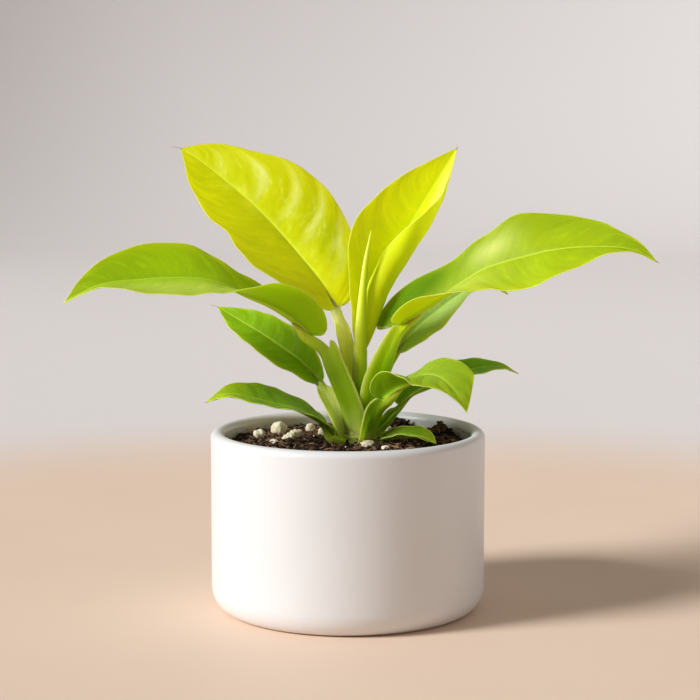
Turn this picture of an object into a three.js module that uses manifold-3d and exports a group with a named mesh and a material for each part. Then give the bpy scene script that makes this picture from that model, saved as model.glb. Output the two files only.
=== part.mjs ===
// A potted moonshine philodendron: a white ceramic pot, potting soil with pumice grains,
// a short crown, ten leaves with their sheathed stalks and one rolled new leaf.
// Millimetres, +Z up. The origin is the centre of the pot's flat underside; the front is -Y.
import * as THREE from 'three';
import { mergeVertices } from 'three/addons/utils/BufferGeometryUtils.js';
import Module from 'manifold-3d';

const wasm = await Module();
wasm.setup();

// Clearance between pieces that touch.
const GAP = 0.3;

// Pot
const POT_RADIUS = 65;
const POT_HEIGHT = 85;
const POT_WALL = 6.6;
const POT_FLOOR = 8;
const POT_FOOT_RADIUS = 56.5;
const POT_SIDES = 64;

// Soil
const SOIL_LEVEL = 77.5;
const SOIL_MOUND = 2.2;
const SOIL_MOUND_RADIUS = 30;
const SOIL_LUMP_HEIGHT = 0.7;
const SOIL_LUMP_SIZE = 6;
const SOIL_RINGS = 10;
const SOIL_SECTORS = 40;
const SOIL_SEED = 11;

// Clods that stand against the pot wall: [x, y, height, radius]
const SOIL_CLODS = [
  [45, 24, 5.5, 5.5],
  [25, 47, 4.5, 7],
  [-46, 27, 1.5, 6],
  [4, 48, 1.5, 8],
  [-20, -40, 1.2, 9],
  [32, -36, 1.6, 8],
];

// Crown: where it stands, how deep it is rooted and how it narrows: [height, radius]
const CROWN_PLACE = [4.5, -3];
const CROWN_PROFILE = [
  [58, 5], [64, 7.5], [72, 8.6], [79, 8.9], [83, 8.2], [86, 6.6], [88.4, 4.4], [90, 2],
];
const CROWN_SIDES = 20;

// Pumice grains: [x, y, height of the middle, length, width, height, turn in degrees]
const PUMICE_GRAINS = [
  [-43, 16, 79.8, 5.6, 5.2, 5, 20],
  [-34, 30, 80.6, 7.8, 7, 7.2, 60],
  [-27, 11, 79.9, 11, 5, 4.8, 35],
  [-18.5, 36, 79.8, 4.6, 4.2, 4.6, 10],
  [-12.5, 22, 80.2, 4.4, 4, 4, 80],
  [9, -17.5, 80.2, 7, 5.6, 5.2, 15],
  [-35, 0, 79, 4.2, 3.2, 3, 150],
  [20, 35, 79.4, 3.8, 3.4, 3.4, 40],
  [17.5, -22, 79.4, 4.4, 3.8, 3.8, 120],
  [-2, 31, 79.6, 6, 5.4, 5, 70],
];

// Blades
const BLADE_THICKNESS = 0.8;
const BLADE_RIB = 1.3;
const BLADE_ROWS = 14;
const BLADE_ROW_CROWDING = 1.3;
const BLADE_COLUMNS = [0, 0.1, 0.36, 0.7, 1];
const BLADE_BASE_ROUNDING = 0.07;
const BLADE_TIP_HALF_WIDTH = 0.5;
const STALK_RINGS = 11;

// Leaves. stalk runs from the crown to the blade and blade from its base to its tip, both down the
// middle. face is where the upper side looks, from base to tip. left and right are half widths at nine
// even places from base to tip, seen from above with the tip away. riseLeft and riseRight tilt each half
// up from the face, in degrees, and curlLeft and curlRight are how far it then bends on to its margin.
// lobe is how far each half's base reaches back past the stalk. radius is the stalk's at its foot and top.
// sheath: the wings' heights from the stalk's foot to where they end (until, as a share of the stalk), how
// far their ends lean on towards the blade, the side of the stalk they are on, the angles from that side
// between which they spread, and the share of the height that the left and the right wing have.
// behindSpear marks the leaves that give way to the new leaf.
const LEAVES = [
  {
    name: 'leaf_front_right',
    colour: 0x8fb327,
    stalk: [[7.5, -9.5, 81], [11.3, -12, 90], [14.5, -14, 97]],
    blade: [
      [18, -16, 103], [24, -20, 108], [30.5, -25, 112.5], [36.5, -30, 115.5],
      [42.5, -36, 114.5], [46.5, -41, 111.5], [50.5, -45, 107], [53.5, -49, 100.5],
    ],
    face: [[-0.3, 0.25, 1], [-0.1, 0.1, 1], [0, -0.4, 1], [0.3, -0.8, 0.9], [0.6, -0.8, 0.5]],
    left: [10, 12, 12.5, 12.5, 12.5, 14, 12.5, 5.5, 0],
    right: [9, 12.5, 13, 13, 13, 10.5, 6, 3, 0],
    riseLeft: [30, 25, 15, 5, 0],
    riseRight: [50, 45, 30, 12, 0, 0, 0, 0, 0],
    lobe: [9, 4.5],
    radius: [4, 2.4],
    sheath: { heights: [3.2, 4.2, 4, 3], lean: 2, until: 0.95, face: [-0.8, -0.25, 0.5], spread: [60, 20] },
  },
  {
    name: 'leaf_right_large',
    colour: 0xa9cc14,
    stalk: [[7.5, -4, 82], [12, -7, 99.5], [18.2, -7, 118.5], [22.5, -5.5, 129.5]],
    blade: [
      [26, -4, 137], [33.5, -7, 142.5], [42, -10, 148.5], [51, -14, 155], [63, -19, 163],
      [78.5, -25, 168.5], [96, -32, 173], [113.5, -39, 174.5], [127, -45, 173.5], [137.5, -50, 168.5],
    ],
    face: [
      [-0.35, -0.28, 0.96], [-0.3, -0.31, 0.95], [-0.2, -0.41, 0.91], [0, -0.56, 0.83], [0, -0.64, 0.77],
      [0, -0.6, 0.8], [0, -0.56, 0.83], [0.1, -0.53, 0.85], [0.2, -0.53, 0.85],
    ],
    left: [12, 15.5, 14, 16.5, 23, 21, 16.5, 7.8, 0],
    right: [9, 12.5, 14.3, 16.7, 20, 19.5, 13.5, 7, 0],
    riseLeft: [43, 42, 28, 23, 18, 11, 11, 16, 18],
    riseRight: [57, 45, 18, 2, -4, -2, 0, 18, 30],
    lobe: [14, 3.5],
    radius: [4.6, 2.4],
    sheath: {
      heights: [2.5, 6.5, 9.6, 8.8, 5],
      lean: 3.5,
      until: 0.92,
      face: [-0.85, -0.3, 0.5],
      spread: [50, -35],
      sides: [0.4, 1],
    },
  },
  {
    name: 'leaf_left_long',
    colour: 0x8bb312,
    stalk: [[3.6, -5, 84], [0.4, -8, 97.5], [-7, -7, 114], [-11.3, -5.5, 123.5]],
    blade: [
      [-18.5, -4, 131.5], [-26.5, -6, 139], [-36, -9, 145.5], [-45.5, -12, 150], [-61.5, -16, 157],
      [-77, -20, 159], [-95, -25, 158.5], [-113, -30, 156.5], [-128.5, -35, 149],
    ],
    face: [
      [0.45, 0.45, 1], [0.28, 0.37, 1], [0.15, 0.1, 1], [0.1, -0.2, 1], [0.05, -0.4, 0.9],
      [0, -0.45, 0.9], [0, -0.45, 0.9], [-0.05, -0.45, 0.9], [-0.1, -0.5, 0.9],
    ],
    left: [11.5, 15, 15.5, 17, 20, 20, 16.5, 8, 0],
    right: [13, 15, 15.5, 15, 20, 20.5, 17, 9, 0],
    riseLeft: [45, 40, 24, 2, 5, 8, 14, 24, 30],
    riseRight: [25, 36, 31, 22, 21, 22, 25, 25, 25],
    curlLeft: [10, 10, 0, 0],
    lobe: [5.5, 7],
    radius: [4.6, 2.6],
    sheath: {
      heights: [7, 7, 6.4, 5.6, 4],
      lean: 5,
      until: 0.8,
      face: [0.85, -0.25, 0.5],
      spread: [60, -10],
      sides: [1, 0.4],
    },
  },
  {
    name: 'leaf_left_small',
    colour: 0x74a51a,
    stalk: [[-2.5, -7.5, 82], [-6, -8, 92], [-10.5, -4, 102]],
    blade: [
      [-14, 0, 108.5], [-22, 4, 117], [-32, 10, 123.5], [-42, 16, 129.5], [-53, 24, 135], [-63.5, 31, 140.5],
    ],
    face: [[0.1, -1, 0.3], [0, -1, 0.8], [0, -1, 1], [0, -1, 1]],
    left: [3.5, 8, 11.5, 12, 11.2, 10.2, 8.4, 4.8, 0],
    right: [4, 7.2, 10, 11.3, 11, 10.5, 8.4, 4.9, 0],
    riseLeft: [25, 20, 15, 15],
    riseRight: [25, 15, 10, 10],
    lobe: [1.5, 1.5],
    radius: [3, 1.9],
    sheath: { heights: [2.2, 3.2, 3, 2], lean: 2.5, until: 0.92, face: [0.7, -0.7, 0.3], spread: [60, 20] },
  },
  {
    name: 'leaf_low_left',
    colour: 0x55871c,
    stalk: [[0, -7, 78.5], [-5.8, -12.2, 82]],
    blade: [
      [-7.2, -13, 85], [-11.5, -14.8, 91], [-22.5, -17, 97.5], [-34, -19, 100.5],
      [-45.5, -20, 103.5], [-55.5, -20, 105], [-66, -20, 101],
    ],
    face: [[0, -0.1, 1], [0, -0.2, 1], [0, -0.3, 1], [-0.2, -0.3, 1]],
    left: [4, 7, 10, 12, 11, 10, 8, 4.8, 0],
    right: [4, 7, 11, 14.5, 16, 14.5, 11.4, 6, 0],
    riseLeft: [15, 12, 12, 12],
    riseRight: [10, 5, 5, 5],
    lobe: [0, 0],
    radius: [3, 2.2],
  },
  {
    name: 'leaf_front_small',
    colour: 0x6a9c1e,
    stalk: [[8, -7, 80], [13.5, -10, 80.6]],
    blade: [[17, -12, 82.8], [22.5, -13.5, 84.5], [28.5, -15.5, 85], [35, -17.5, 84.2], [41, -19.5, 81.8]],
    face: [[-0.2, -0.3, 1], [0, -0.3, 1], [0.2, -0.4, 1]],
    left: [3, 3.8, 4.4, 5, 5.6, 6.1, 5.8, 3.8, 0],
    right: [3, 4, 4.6, 5, 5.2, 5, 4.6, 3, 0],
    riseLeft: [35, 25, 10],
    riseRight: [25, 25, 15],
    lobe: [2, 2],
    radius: [1.8, 1.3],
  },
  {
    name: 'leaf_upper_right',
    behindSpear: true,
    colour: 0xc9d406,
    stalk: [[4.5, 3, 82], [5, 6, 98.5], [5.5, 7, 110.5]],
    blade: [
      [6, 7, 121.5], [9.3, 8, 135.5], [13.6, 9, 151.5], [21.8, 12, 167],
      [31.3, 15, 184.5], [41.8, 18, 201.5], [52, 22, 217.5],
    ],
    face: [[0, -1, 0], [0, -1, 0.2], [-0.1, -1, 0.3], [-0.2, -1, 0.3]],
    left: [4, 9, 13.5, 21.9, 24.4, 21, 15.9, 8.5, 0],
    right: [7, 14.6, 21, 24.8, 25.2, 23.6, 17.2, 8, 0],
    riseLeft: [40, 25, 15, 10, 10],
    riseRight: [-10, -10, -10, 10],
    curlLeft: [10, 10, 10, 10],
    curlRight: [240, 258, 254, 180, 110, 60],
    lobe: [0, 0],
    radius: [4.4, 3.2],
  },
  {
    name: 'leaf_upper_left',
    behindSpear: true,
    colour: 0xc3ce08,
    stalk: [[1, 1, 83], [0.5, 4, 100], [-0.5, 4, 117.5], [-3, 3.5, 132]],
    blade: [
      [-6, 4, 143.5], [-13, 10, 155], [-23, 18, 166.5], [-33, 25, 177.5], [-42.5, 31, 187],
      [-53.5, 37, 196.5], [-65, 43, 205.5], [-74.5, 47, 212.5], [-82.5, 50, 217],
    ],
    face: [[0.25, -1, 0.75], [0.15, -1, 0.55], [0.05, -1, 0.5], [0, -1, 0.5]],
    left: [14, 28.5, 33, 31.5, 26.5, 25.5, 20, 12.5, 0],
    right: [10, 22, 28, 31.5, 31.5, 27.5, 20, 12.5, 0],
    riseLeft: [35, 28, 22, 18, 15],
    riseRight: [15, 12, 8, 8, 10],
    curlLeft: [0, 10, 10, 0],
    curlRight: [-20, -15, 0, 0],
    lobe: [2.4, 1.2],
    radius: [3.8, 2.4],
    sheath: {
      heights: [2.2, 2.8, 3.2, 3.2],
      lean: 0.6,
      until: 0.93,
      face: [0.9, -0.5, 0.2],
      spread: [60, 20],
      sides: [1, 0.5],
    },
  },
  {
    name: 'leaf_right_back',
    behindSpear: true,
    colour: 0x64962f,
    stalk: [[8, 2, 82], [13, 5, 96], [19, 8, 112.5]],
    blade: [[23.5, 10, 121.5], [31, 18, 129.5], [42, 28, 138], [57.5, 39, 147.5],
      [70, 45, 150.5], [79.5, 50, 145]],
    face: [[-0.3, -1, 0.8], [-0.3, -1, 1], [-0.2, -1, 1]],
    left: [5, 9.5, 12.5, 13, 12, 10, 8, 5, 0],
    right: [5, 9.5, 12.5, 12, 11, 10, 8, 5, 0],
    riseLeft: [20, 20, 20],
    riseRight: [15, 15, 15, 18, 28, 38, 42, 40, 30],
    lobe: [1, 1],
    radius: [2.8, 1.5],
  },
  {
    name: 'leaf_right_slim',
    behindSpear: true,
    colour: 0x5b8b22,
    stalk: [[10, -1, 81], [17, 2, 86.5], [22, 4, 92]],
    blade: [
      [25.5, 6, 97.5], [30.5, 9, 101.5], [39.5, 13, 104.5], [51.5, 18, 109.5],
      [64, 22, 112], [74, 26, 112], [83.5, 30, 108],
    ],
    face: [[-0.3, -0.3, 1], [-0.1, -0.3, 1], [0, -0.4, 1], [0.2, -0.4, 1]],
    left: [4, 6.5, 8.5, 9.7, 9.8, 9, 6.6, 3, 0],
    right: [4, 6, 7, 8.5, 9.5, 8.5, 6, 3, 0],
    riseLeft: [20, 10, 5, 0],
    riseRight: [25, 25, 28, 20, 12, 10, 10, 15, 15],
    lobe: [2, 2],
    radius: [2.6, 1.5],
    sheath: { heights: [1.4, 2, 2], lean: 2, until: 0.93, face: [-0.7, -0.3, 0.7], spread: [60, 20] },
  },
];

// The rolled new leaf: its middle line and its radius at even places.
const SPEAR_LINE = [
  [5.5, -2, 83], [6, -2, 100], [5.5, -2, 116.5], [6, -2, 133], [7, -2, 149.5], [8.5, -1, 165], [11, 0, 179.5],
];
const SPEAR_RADIUS = [3.6, 3.8, 3.7, 2.9, 2.1, 1.4, 0.4];
const SPEAR_OVERLAP = 0.5;
const SPEAR_RINGS = 16;
const SPEAR_SIDES = 14;

// Numbers and vectors

function randomFrom(seed) {
  let state = seed >>> 0;
  return () => {
    state = (Math.imul(state, 1664525) + 1013904223) >>> 0;
    return state / 4294967296;
  };
}

const add = (a, b, k = 1) => a.map((x, i) => x + b[i] * k);
const dot = (a, b) => a.reduce((sum, x, i) => sum + x * b[i], 0);
const length = (a) => Math.sqrt(dot(a, a));
const unit = (a) => a.map((x) => x / length(a));
const cross = (a, b) => [
  a[1] * b[2] - a[2] * b[1],
  a[2] * b[0] - a[0] * b[2],
  a[0] * b[1] - a[1] * b[0],
];
const radians = (degrees) => (degrees * Math.PI) / 180;
const clamp = (x, low = 0, high = 1) => Math.min(high, Math.max(low, x));
const smooth = (x) => clamp(x) ** 2 * (3 - 2 * clamp(x));

// A smooth curve through evenly spaced values, which may be numbers or points; t runs from 0 to 1.
function spline(values, t) {
  const points = values.map((value) => (Array.isArray(value) ? value : [value]));
  const last = points.length - 1;
  const place = clamp(t) * last;
  const i = Math.min(Math.floor(place), last - 1);
  const w = place - i;
  const b = points[i];
  const c = points[i + 1];
  const a = i > 0 ? points[i - 1] : add(b, add(b, c, -1));
  const d = i + 2 <= last ? points[i + 2] : add(c, add(c, b, -1));
  const result = b.map((_, k) => 0.5 * (
    2 * b[k]
    + (c[k] - a[k]) * w
    + (2 * a[k] - 5 * b[k] + 4 * c[k] - d[k]) * w ** 2
    + (3 * b[k] - a[k] - 3 * c[k] + d[k]) * w ** 3
  ));
  return Array.isArray(values[0]) ? result : result[0];
}

// A smooth curve measured by its length. at() gives the point and direction a distance along it,
// running straight on before its start.
class Line {
  constructor(points, samples = 200) {
    this.points = Array.from({ length: samples + 1 }, (_, i) => spline(points, i / samples));
    this.distance = [0];
    for (let i = 1; i <= samples; i += 1) {
      this.distance.push(this.distance[i - 1] + length(add(this.points[i], this.points[i - 1], -1)));
    }
    this.length = this.distance[samples];
  }

  point(distance) {
    const d = clamp(distance, 0, this.length);
    let i = 1;
    while (i < this.distance.length - 1 && this.distance[i] < d) i += 1;
    const w = (d - this.distance[i - 1]) / (this.distance[i] - this.distance[i - 1]);
    return add(this.points[i - 1], add(this.points[i], this.points[i - 1], -1), w);
  }

  at(distance) {
    const d = clamp(distance, 0, this.length);
    const step = this.length * 0.01;
    const direction = unit(add(this.point(d + step), this.point(d - step), -1));
    return { point: add(this.point(d), direction, distance - d), direction };
  }
}

// Solids

function solid(points, triangles) {
  return new wasm.Manifold(new wasm.Mesh({
    numProp: 3,
    vertProperties: new Float32Array(points.flat()),
    triVerts: new Uint32Array(triangles.flat()),
  }));
}

function solidOf(geometry) {
  const bare = geometry.clone();
  bare.deleteAttribute('normal');
  bare.deleteAttribute('uv');
  const merged = mergeVertices(bare, 1e-4);
  return new wasm.Manifold(new wasm.Mesh({
    numProp: 3,
    vertProperties: new Float32Array(merged.attributes.position.array),
    triVerts: new Uint32Array(merged.index.array),
  }));
}

function geometryOf(body) {
  const mesh = body.getMesh();
  const geometry = new THREE.BufferGeometry();
  geometry.setAttribute('position', new THREE.BufferAttribute(new Float32Array(mesh.vertProperties), 3));
  geometry.setIndex(new THREE.BufferAttribute(new Uint32Array(mesh.triVerts), 1));
  geometry.computeVertexNormals();
  return geometry;
}

// What is left of a body after cuts: its biggest piece.
function biggest(body) {
  return body.decompose().sort((a, b) => b.volume() - a.volume())[0];
}

// A closed skin over rings of points that all run the same way round; caps lists each end's triangles.
function skin(rings, caps) {
  const sides = rings[0].length;
  const triangles = [];
  for (let i = 0; i < rings.length - 1; i += 1) {
    for (let j = 0; j < sides; j += 1) {
      const a = i * sides + j;
      const b = i * sides + ((j + 1) % sides);
      triangles.push([a, b, b + sides], [a, b + sides, a + sides]);
    }
  }
  const end = (rings.length - 1) * sides;
  caps.forEach(([a, b, c]) => {
    triangles.push([c, b, a], [a + end, b + end, c + end]);
  });
  return solid(rings.flat(), triangles);
}

const fan = (sides) => Array.from({ length: sides - 2 }, (_, i) => [0, i + 1, i + 2]);

// Leaves

// The frame of a leaf part: sideways and up, from its direction and where it faces.
function frameOf(direction, face) {
  const up = unit(add(face, direction, -dot(face, direction)));
  return { up, side: cross(direction, up) };
}

// A point of the blade's upper side. u runs from base to tip and v from the left margin, -1, to the
// right, 1. Each half is an arc that leaves the midrib at its rise and bends on by its curl.
function bladePoint(leaf, line, u, v, grow = 0) {
  const reach = Math.abs(v);
  const back = leaf.lobe[v < 0 ? 0 : 1] * (1 - clamp(u / 0.3)) ** 2 * reach * (2 - reach);
  const { point, direction } = line.at(u * line.length - back + (u - 0.5) * 2 * grow);
  const { up, side } = frameOf(direction, spline(leaf.face, u));
  const left = v < 0;
  const rounding = 0.45 + 0.55 * Math.sqrt(1 - (1 - clamp(u / BLADE_BASE_ROUNDING)) ** 2);
  const half = Math.max(spline(left ? leaf.left : leaf.right, u), BLADE_TIP_HALF_WIDTH) * rounding + grow;
  const rise = radians(spline(left ? leaf.riseLeft : leaf.riseRight, u));
  const curls = (left ? leaf.curlLeft : leaf.curlRight) ?? [0, 0];
  const curl = radians(spline(curls, u)) || 1e-3;
  const across = (half * (Math.sin(rise + curl * reach) - Math.sin(rise))) / curl;
  const lift = (half * (Math.cos(rise) - Math.cos(rise + curl * reach))) / curl;
  return add(add(point, side, left ? -across : across), up, lift);
}

// How thick the blade is: even, with the midrib under it that runs out towards the tip.
function bladeThickness(u, v) {
  const rib = BLADE_RIB * (1 - u) * Math.exp(-((v / 0.12) ** 2));
  return BLADE_THICKNESS + rib;
}

function bladeSolid(leaf, grow) {
  const line = new Line(leaf.blade);
  const columns = [...BLADE_COLUMNS.slice(1).reverse().map((v) => -v), ...BLADE_COLUMNS];
  const rows = leaf.rows ?? BLADE_ROWS;
  const upper = [];
  const lower = [];
  for (let i = 0; i <= rows; i += 1) {
    const u = (i / rows) ** BLADE_ROW_CROWDING;
    for (const v of columns) {
      const here = (du, dv) => bladePoint(leaf, line, clamp(u + du), clamp(v + dv, -1, 1), grow);
      const along = add(here(0.01, 0), here(-0.01, 0), -1);
      const across = add(here(0, 0.04), here(0, -0.04), -1);
      const normal = unit(cross(along, across)).map((x) => -x);
      const top = here(0, 0);
      upper.push(add(top, normal, grow));
      lower.push(add(top, normal, -bladeThickness(u, v) - grow));
    }
  }
  const width = columns.length;
  const count = upper.length;
  const triangles = [];
  const quad = (a, b, c, d) => triangles.push([a, b, c], [a, c, d]);
  for (let i = 0; i < rows; i += 1) {
    for (let j = 0; j < width - 1; j += 1) {
      const a = i * width + j;
      quad(a, a + 1, a + width + 1, a + width);
      triangles.push([a + count, a + width + 1 + count, a + 1 + count]);
      triangles.push([a + count, a + width + count, a + width + 1 + count]);
    }
  }
  const edge = (a, b) => quad(b, a, a + count, b + count);
  for (let j = 0; j < width - 1; j += 1) {
    edge(j, j + 1);
    edge(rows * width + j + 1, rows * width + j);
  }
  for (let i = 0; i < rows; i += 1) {
    edge((i + 1) * width, i * width);
    edge(i * width + width - 1, (i + 1) * width + width - 1);
  }
  return solid([...upper, ...lower], triangles);
}

// The stalk's section: round below, with a groove above and a wing on each side of it. A wing is the
// chord of an arc whose heading turns between the two angles of spread. Each point is x, y and how far it
// leans.
function stalkSection(radius, wings, spread, grow) {
  const r = radius + grow;
  const middle = radians((spread[0] + spread[1]) / 2);
  const half = radians(Math.abs(spread[0] - spread[1]) / 2);
  const chord = half > 0 ? Math.sin(half) / half : 1;
  const out = [Math.sin(middle), Math.cos(middle)];
  const inward = [-out[1], out[0]];
  const at = (degrees, k = 1) => [Math.sin(radians(degrees)) * r * k, Math.cos(radians(degrees)) * r * k];
  const thick = 0.45 + grow;
  const [left, right] = wings.map((wing) => {
    const open = clamp(wing / radius);
    const tip = add(at(68), out, wing * chord + (wing > 0 ? grow : 0));
    return [
      [...at(40, 1 - 0.35 * open), 0],
      [...add(tip, inward, thick), open],
      [...add(tip, inward, -thick), open],
      [...at(105), 0],
      [...at(145), 0],
    ];
  });
  const mirror = left.map(([x, y, lean]) => [-x, y, lean]).reverse();
  const groove = 0.9 - 0.55 * clamp(Math.max(...wings) / radius);
  return [[0, r * groove, 0], ...right, [0, -r, 0], ...mirror];
}

const STALK_CAP = [
  [0, 1, 4], [1, 2, 3], [1, 3, 4], [0, 4, 5], [0, 5, 6],
  [0, 8, 11], [11, 8, 9], [11, 9, 10], [0, 7, 8], [0, 6, 7],
];

// The stalk from the crown to the blade, and on under the blade's base as the start of its midrib.
function stalkSolid(leaf, grow) {
  const blade = new Line(leaf.blade);
  const bladeFace = leaf.face[0];
  const [footRadius, topRadius] = leaf.radius;
  const runOn = [0, 4, 9].map((distance) => {
    const { point, direction } = blade.at(distance);
    const { up } = frameOf(direction, bladeFace);
    return add(point, up, -topRadius * 0.8 * (1 - distance / 22) - 0.3);
  });
  const line = new Line([...leaf.stalk, ...runOn]);
  const top = line.length - 9;
  const sheath = leaf.sheath ?? { heights: [0, 0], lean: 0, until: 0, face: bladeFace, spread: [40, 40] };
  const sides = sheath.sides ?? [1, 1];
  const end = sheath.until * top;
  const places = Array.from({ length: STALK_RINGS }, (_, i) => (i / (STALK_RINGS - 1)) * top);
  places.push(top + 4, line.length);
  if (end > 0) places.push(end - 3, end - 0.8);
  places.sort((a, b) => a - b);
  const rings = places.map((distance) => {
    const { point, direction } = line.at(distance);
    const w = smooth(distance / top);
    const face = add(unit(sheath.face).map((x) => x * (1 - w)), unit(bladeFace), w);
    const { up, side } = frameOf(direction, face);
    const past = clamp((distance - top) / 9);
    const radius = (footRadius + (topRadius - footRadius) * clamp(distance / top)) * (1 - 0.65 * past);
    const along = end > 0 ? distance / end : 1;
    const wing = along < 1 ? spline(sheath.heights, along) * smooth((end - distance) / 3.2) : 0;
    const lean = sheath.lean * smooth((along - 0.6) / 0.4);
    return stalkSection(radius, sides.map((share) => wing * share), sheath.spread, grow)
      .map(([x, y, share]) => add(add(add(point, side, x), up, y), direction, share * lean));
  });
  return skin(rings, STALK_CAP);
}

const leafSolid = (leaf, grow = 0) => bladeSolid(leaf, grow).add(stalkSolid(leaf, grow));

// The rolled leaf: a slender cone whose section is a spiral with one overlapping edge.
function spearSolid(grow = 0) {
  const line = new Line(SPEAR_LINE);
  const rings = Array.from({ length: SPEAR_RINGS + 1 }, (_, i) => {
    const t = i / SPEAR_RINGS;
    const { point, direction } = line.at(t * line.length);
    const { up, side } = frameOf(direction, [0, -1, 0]);
    const radius = spline(SPEAR_RADIUS, t);
    return Array.from({ length: SPEAR_SIDES }, (_, j) => {
      const turn = j / SPEAR_SIDES;
      const angle = 2 * Math.PI * (turn + 0.15 + 0.1 * t);
      const r = radius - SPEAR_OVERLAP * (radius / SPEAR_RADIUS[0]) * turn + grow;
      return add(add(point, side, r * Math.cos(angle)), up, -r * Math.sin(angle));
    });
  });
  return skin(rings, fan(SPEAR_SIDES));
}

// Pot, soil, crown and grains

function potSolid() {
  const inner = POT_RADIUS - POT_WALL;
  const lip = POT_WALL / 2;
  const profile = [[0, 0], [POT_FOOT_RADIUS, 0]];
  const corner = POT_RADIUS - POT_FOOT_RADIUS;
  for (const degrees of [25, 50, 72, 90]) {
    const a = radians(degrees);
    profile.push([POT_FOOT_RADIUS + corner * Math.sin(a), corner * 1.35 * (1 - Math.cos(a))]);
  }
  for (const degrees of [0, 30, 60, 90, 120, 150, 180]) {
    const a = radians(degrees);
    profile.push([POT_RADIUS - lip + lip * Math.cos(a), POT_HEIGHT - lip + lip * Math.sin(a)]);
  }
  for (const degrees of [0, 30, 60, 90]) {
    const a = radians(degrees);
    profile.push([inner - 8 + 8 * Math.cos(a), POT_FLOOR + 8 - 8 * Math.sin(a)]);
  }
  profile.push([0, POT_FLOOR]);
  const geometry = new THREE.LatheGeometry(profile.map(([x, y]) => new THREE.Vector2(x, y)), POT_SIDES);
  geometry.rotateX(Math.PI / 2);
  return solidOf(geometry);
}

// Smooth lumps from a seeded grid of heights between -1 and 1.
function lumps(seed, size) {
  const random = randomFrom(seed);
  const cells = 64;
  const heights = Array.from({ length: cells * cells }, () => random() * 2 - 1);
  const height = (i, j) => heights[((i % cells) + cells) % cells * cells + (((j % cells) + cells) % cells)];
  return (x, y) => {
    const i = Math.floor(x / size);
    const j = Math.floor(y / size);
    const a = smooth(x / size - i);
    const b = smooth(y / size - j);
    const low = height(i, j) * (1 - a) + height(i + 1, j) * a;
    const high = height(i, j + 1) * (1 - a) + height(i + 1, j + 1) * a;
    return low * (1 - b) + high * b;
  };
}

function soilHeight(x, y, coarse, fine) {
  const [cx, cy] = CROWN_PLACE;
  let z = SOIL_LEVEL + SOIL_MOUND * Math.exp(-(((x - cx) ** 2 + (y - cy) ** 2) / SOIL_MOUND_RADIUS ** 2));
  z += SOIL_LUMP_HEIGHT * (coarse(x, y) + 0.6 * fine(x, y));
  for (const [px, py, height, radius] of SOIL_CLODS) {
    z += height * Math.exp(-(((x - px) ** 2 + (y - py) ** 2) / radius ** 2));
  }
  return z;
}

function soilSolid() {
  const radius = POT_RADIUS - POT_WALL - GAP;
  const coarse = lumps(SOIL_SEED, SOIL_LUMP_SIZE);
  const fine = lumps(SOIL_SEED + 1, SOIL_LUMP_SIZE / 2);
  const floor = POT_FLOOR + GAP;
  const points = [[0, 0, floor], [0, 0, soilHeight(0, 0, coarse, fine)]];
  const ring = (r, z) => {
    const first = points.length;
    for (let j = 0; j < SOIL_SECTORS; j += 1) {
      const a = (2 * Math.PI * j) / SOIL_SECTORS;
      const x = r * Math.cos(a);
      const y = r * Math.sin(a);
      points.push([x, y, z ?? soilHeight(x, y, coarse, fine)]);
    }
    return first;
  };
  const rings = [ring(radius - 9, floor), ring(radius - 1.2, floor + 7), ring(radius, floor + 12)];
  for (let i = SOIL_RINGS; i >= 1; i -= 1) {
    rings.push(ring((radius * i) / SOIL_RINGS));
  }
  const triangles = [];
  const next = (j) => (j + 1) % SOIL_SECTORS;
  for (let j = 0; j < SOIL_SECTORS; j += 1) {
    triangles.push([0, rings[0] + next(j), rings[0] + j]);
    triangles.push([1, rings.at(-1) + j, rings.at(-1) + next(j)]);
    for (let i = 0; i < rings.length - 1; i += 1) {
      const a = rings[i] + j;
      const b = rings[i] + next(j);
      const c = rings[i + 1] + next(j);
      const d = rings[i + 1] + j;
      triangles.push([a, b, c], [a, c, d]);
    }
  }
  return solid(points, triangles);
}

function crownSolid(grow = 0) {
  const profile = [
    new THREE.Vector2(0, CROWN_PROFILE[0][0] - grow),
    ...CROWN_PROFILE.map(([z, r], i) => new THREE.Vector2(r + grow, z + (i === 0 ? -grow : grow * (z > 80)))),
    new THREE.Vector2(0, CROWN_PROFILE.at(-1)[0] + 0.5 + grow),
  ];
  const geometry = new THREE.LatheGeometry(profile, CROWN_SIDES);
  geometry.rotateX(Math.PI / 2);
  geometry.translate(CROWN_PLACE[0], CROWN_PLACE[1], 0);
  return solidOf(geometry);
}

function grainSolid([x, y, z, long, wide, high, turn], index, grow = 0) {
  const random = randomFrom(100 + index);
  const geometry = new THREE.IcosahedronGeometry(1, 1);
  const bare = geometry.clone();
  bare.deleteAttribute('normal');
  bare.deleteAttribute('uv');
  const merged = mergeVertices(bare, 1e-4);
  const place = merged.attributes.position;
  const a = radians(turn);
  for (let i = 0; i < place.count; i += 1) {
    const k = 0.9 + 0.2 * random();
    const px = place.getX(i) * k * (long / 2 + grow);
    const py = place.getY(i) * k * (wide / 2 + grow);
    const pz = place.getZ(i) * k * (high / 2 + grow);
    place.setXYZ(i, x + px * Math.cos(a) - py * Math.sin(a), y + px * Math.sin(a) + py * Math.cos(a), z + pz);
  }
  return solidOf(merged);
}

// Assembly. Each piece is cut clear of those before it, and the soil of all of them.

const plant = new THREE.Group();
const cutters = [];

function place(name, body, colour, roughness) {
  const material = new THREE.MeshStandardMaterial({ color: colour, roughness, metalness: 0 });
  const mesh = new THREE.Mesh(geometryOf(body), material);
  mesh.name = name;
  plant.add(mesh);
}

function placeCut(name, body, grown, colour, roughness) {
  let rest = body;
  for (const cutter of cutters) {
    rest = rest.subtract(cutter);
  }
  place(name, biggest(rest), colour, roughness);
  cutters.push(grown);
}

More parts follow.
